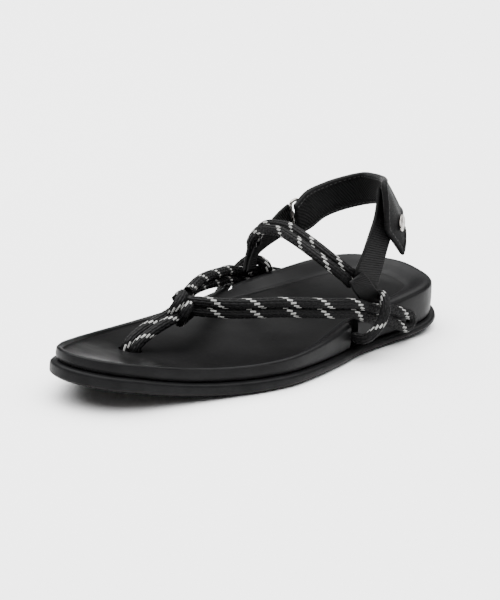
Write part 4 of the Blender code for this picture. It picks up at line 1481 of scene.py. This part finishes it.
spots = []
for sign in (1, -1):
    spots += edge_spots(SEAM_INSET, sign) + edge_spots(-SEAM_INSET, sign) + end_spots(sign)
seams = stitches("strap_seams", spots)
dress(seams, "strap_cloth", THREAD)
print("strap has", len(spots), "stitches")

# %% [markdown]
# ## Floor and light
#
# The sandal stands on a pale floor under a soft room. Black things show little but what they mirror,
# so the room matters more than the lamps: it is bright overhead, which greys the surfaces that face up,
# and almost black at the horizon, which keeps the walls dark. A weak window and a weaker fill only
# soften the shadows. An even sky would be simpler, but it would grey the walls as much as the tops.

# %% Floor
FLOOR_SIZE = 6.0

half_floor = FLOOR_SIZE / 2
data = bpy.data.meshes.new("floor")
data.from_pydata([(-half_floor, -half_floor, 0), (half_floor, -half_floor, 0),
                  (half_floor, half_floor, 0), (-half_floor, half_floor, 0)], [], [(0, 1, 2, 3)])
floor = add_object("floor", data)
PAPER = finish("pale_floor", roughness=0.9, specular=0.1)
tones(PAPER, (0.89, 0.89, 0.89), (0.91, 0.91, 0.91), 400 * MM)
data.materials.append(PAPER)
print("floor", FLOOR_SIZE, "m wide")

# %% Sky
HORIZON = 0.008
SKY_MIDDLE = Vector((-0.08, 0.02, 0.99)).normalized()
SKY_STOPS = (0.52, 0.98)
SKY = 10.5

world = bpy.data.worlds.new("soft_room")
bpy.context.scene.world = world
world.use_nodes = True
room = world.node_tree
sky_place = room.nodes.new("ShaderNodeTexCoord")
sky_height = room.nodes.new("ShaderNodeVectorMath")
sky_height.operation = "DOT_PRODUCT"
sky_height.inputs[1].default_value = SKY_MIDDLE
sky_ramp = room.nodes.new("ShaderNodeValToRGB")
for element, stop, tone in zip(sky_ramp.color_ramp.elements, SKY_STOPS, (HORIZON, 1.0)):
    element.position = stop
    element.color = (tone, tone, tone, 1)
room.links.new(sky_place.outputs["Generated"], sky_height.inputs[0])
room.links.new(sky_height.outputs["Value"], sky_ramp.inputs["Fac"])
room.links.new(sky_ramp.outputs["Color"], room.nodes["Background"].inputs["Color"])
room.nodes["Background"].inputs["Strength"].default_value = SKY
print("sky", SKY, "overhead and", SKY * HORIZON, "at the horizon")

# %% Lights
LIGHTS = (
    # name, place, aim, size, power
    ("window", (-0.75, 0.15, 1.35), (0, 0, 0), (0.8, 0.7), 8),
    ("fill", (1.2, -0.9, 0.9), (0, 0, 0.02), (1.2, 1.2), 2),
)

for name, place, aim, size, power in LIGHTS:
    data = bpy.data.lights.new(name, "AREA")
    data.shape = "RECTANGLE"
    data.size, data.size_y = size
    data.energy = power
    item = add_object(name, data)
    item.location = place
    item.rotation_euler = (Vector(aim) - Vector(place)).to_track_quat("-Z", "Y").to_euler()

# %% [markdown]
# ## Camera
#
# A product picture is taken from far off with a long lens, so that the toe doesn't look bigger than
# the heel. The camera stands beyond the toe on the outer side, a little above, and is rolled by a few
# degrees, as one held by hand is. A look-at rule would keep it level, so its matrix is written out.

# %% Camera
VIEW_ROLL = math.radians(3.506)
VIEW_FROM = Vector((1.606215, -1.896719, 0.832623))
AIM = Vector((-0.0005, 0.004, 0.030))
FRAME_WIDTH = 0.262
FRAME_SHAPE = 600 / 500
SENSOR = 36

back = (VIEW_FROM - AIM).normalized()
level = Vector((-back.y, back.x, 0)).normalized()
above = back.cross(level)
right = level * math.cos(VIEW_ROLL) + above * math.sin(VIEW_ROLL)
up = back.cross(right)
distance = (VIEW_FROM - AIM).length
lens_data = bpy.data.cameras.new("camera")
lens_data.sensor_fit = "VERTICAL"
lens_data.sensor_width = SENSOR
lens_data.sensor_height = SENSOR
lens_data.lens = SENSOR * distance / (FRAME_WIDTH * FRAME_SHAPE)
lens_data.clip_start = 0.1
camera = add_object("camera", lens_data)
camera.matrix_world = Matrix((
    (right.x, up.x, back.x, VIEW_FROM.x),
    (right.y, up.y, back.y, VIEW_FROM.y),
    (right.z, up.z, back.z, VIEW_FROM.z),
    (0, 0, 0, 1)))
bpy.context.scene.camera = camera
print("camera", round(distance, 3), "m away, lens", round(lens_data.lens, 1), "mm")
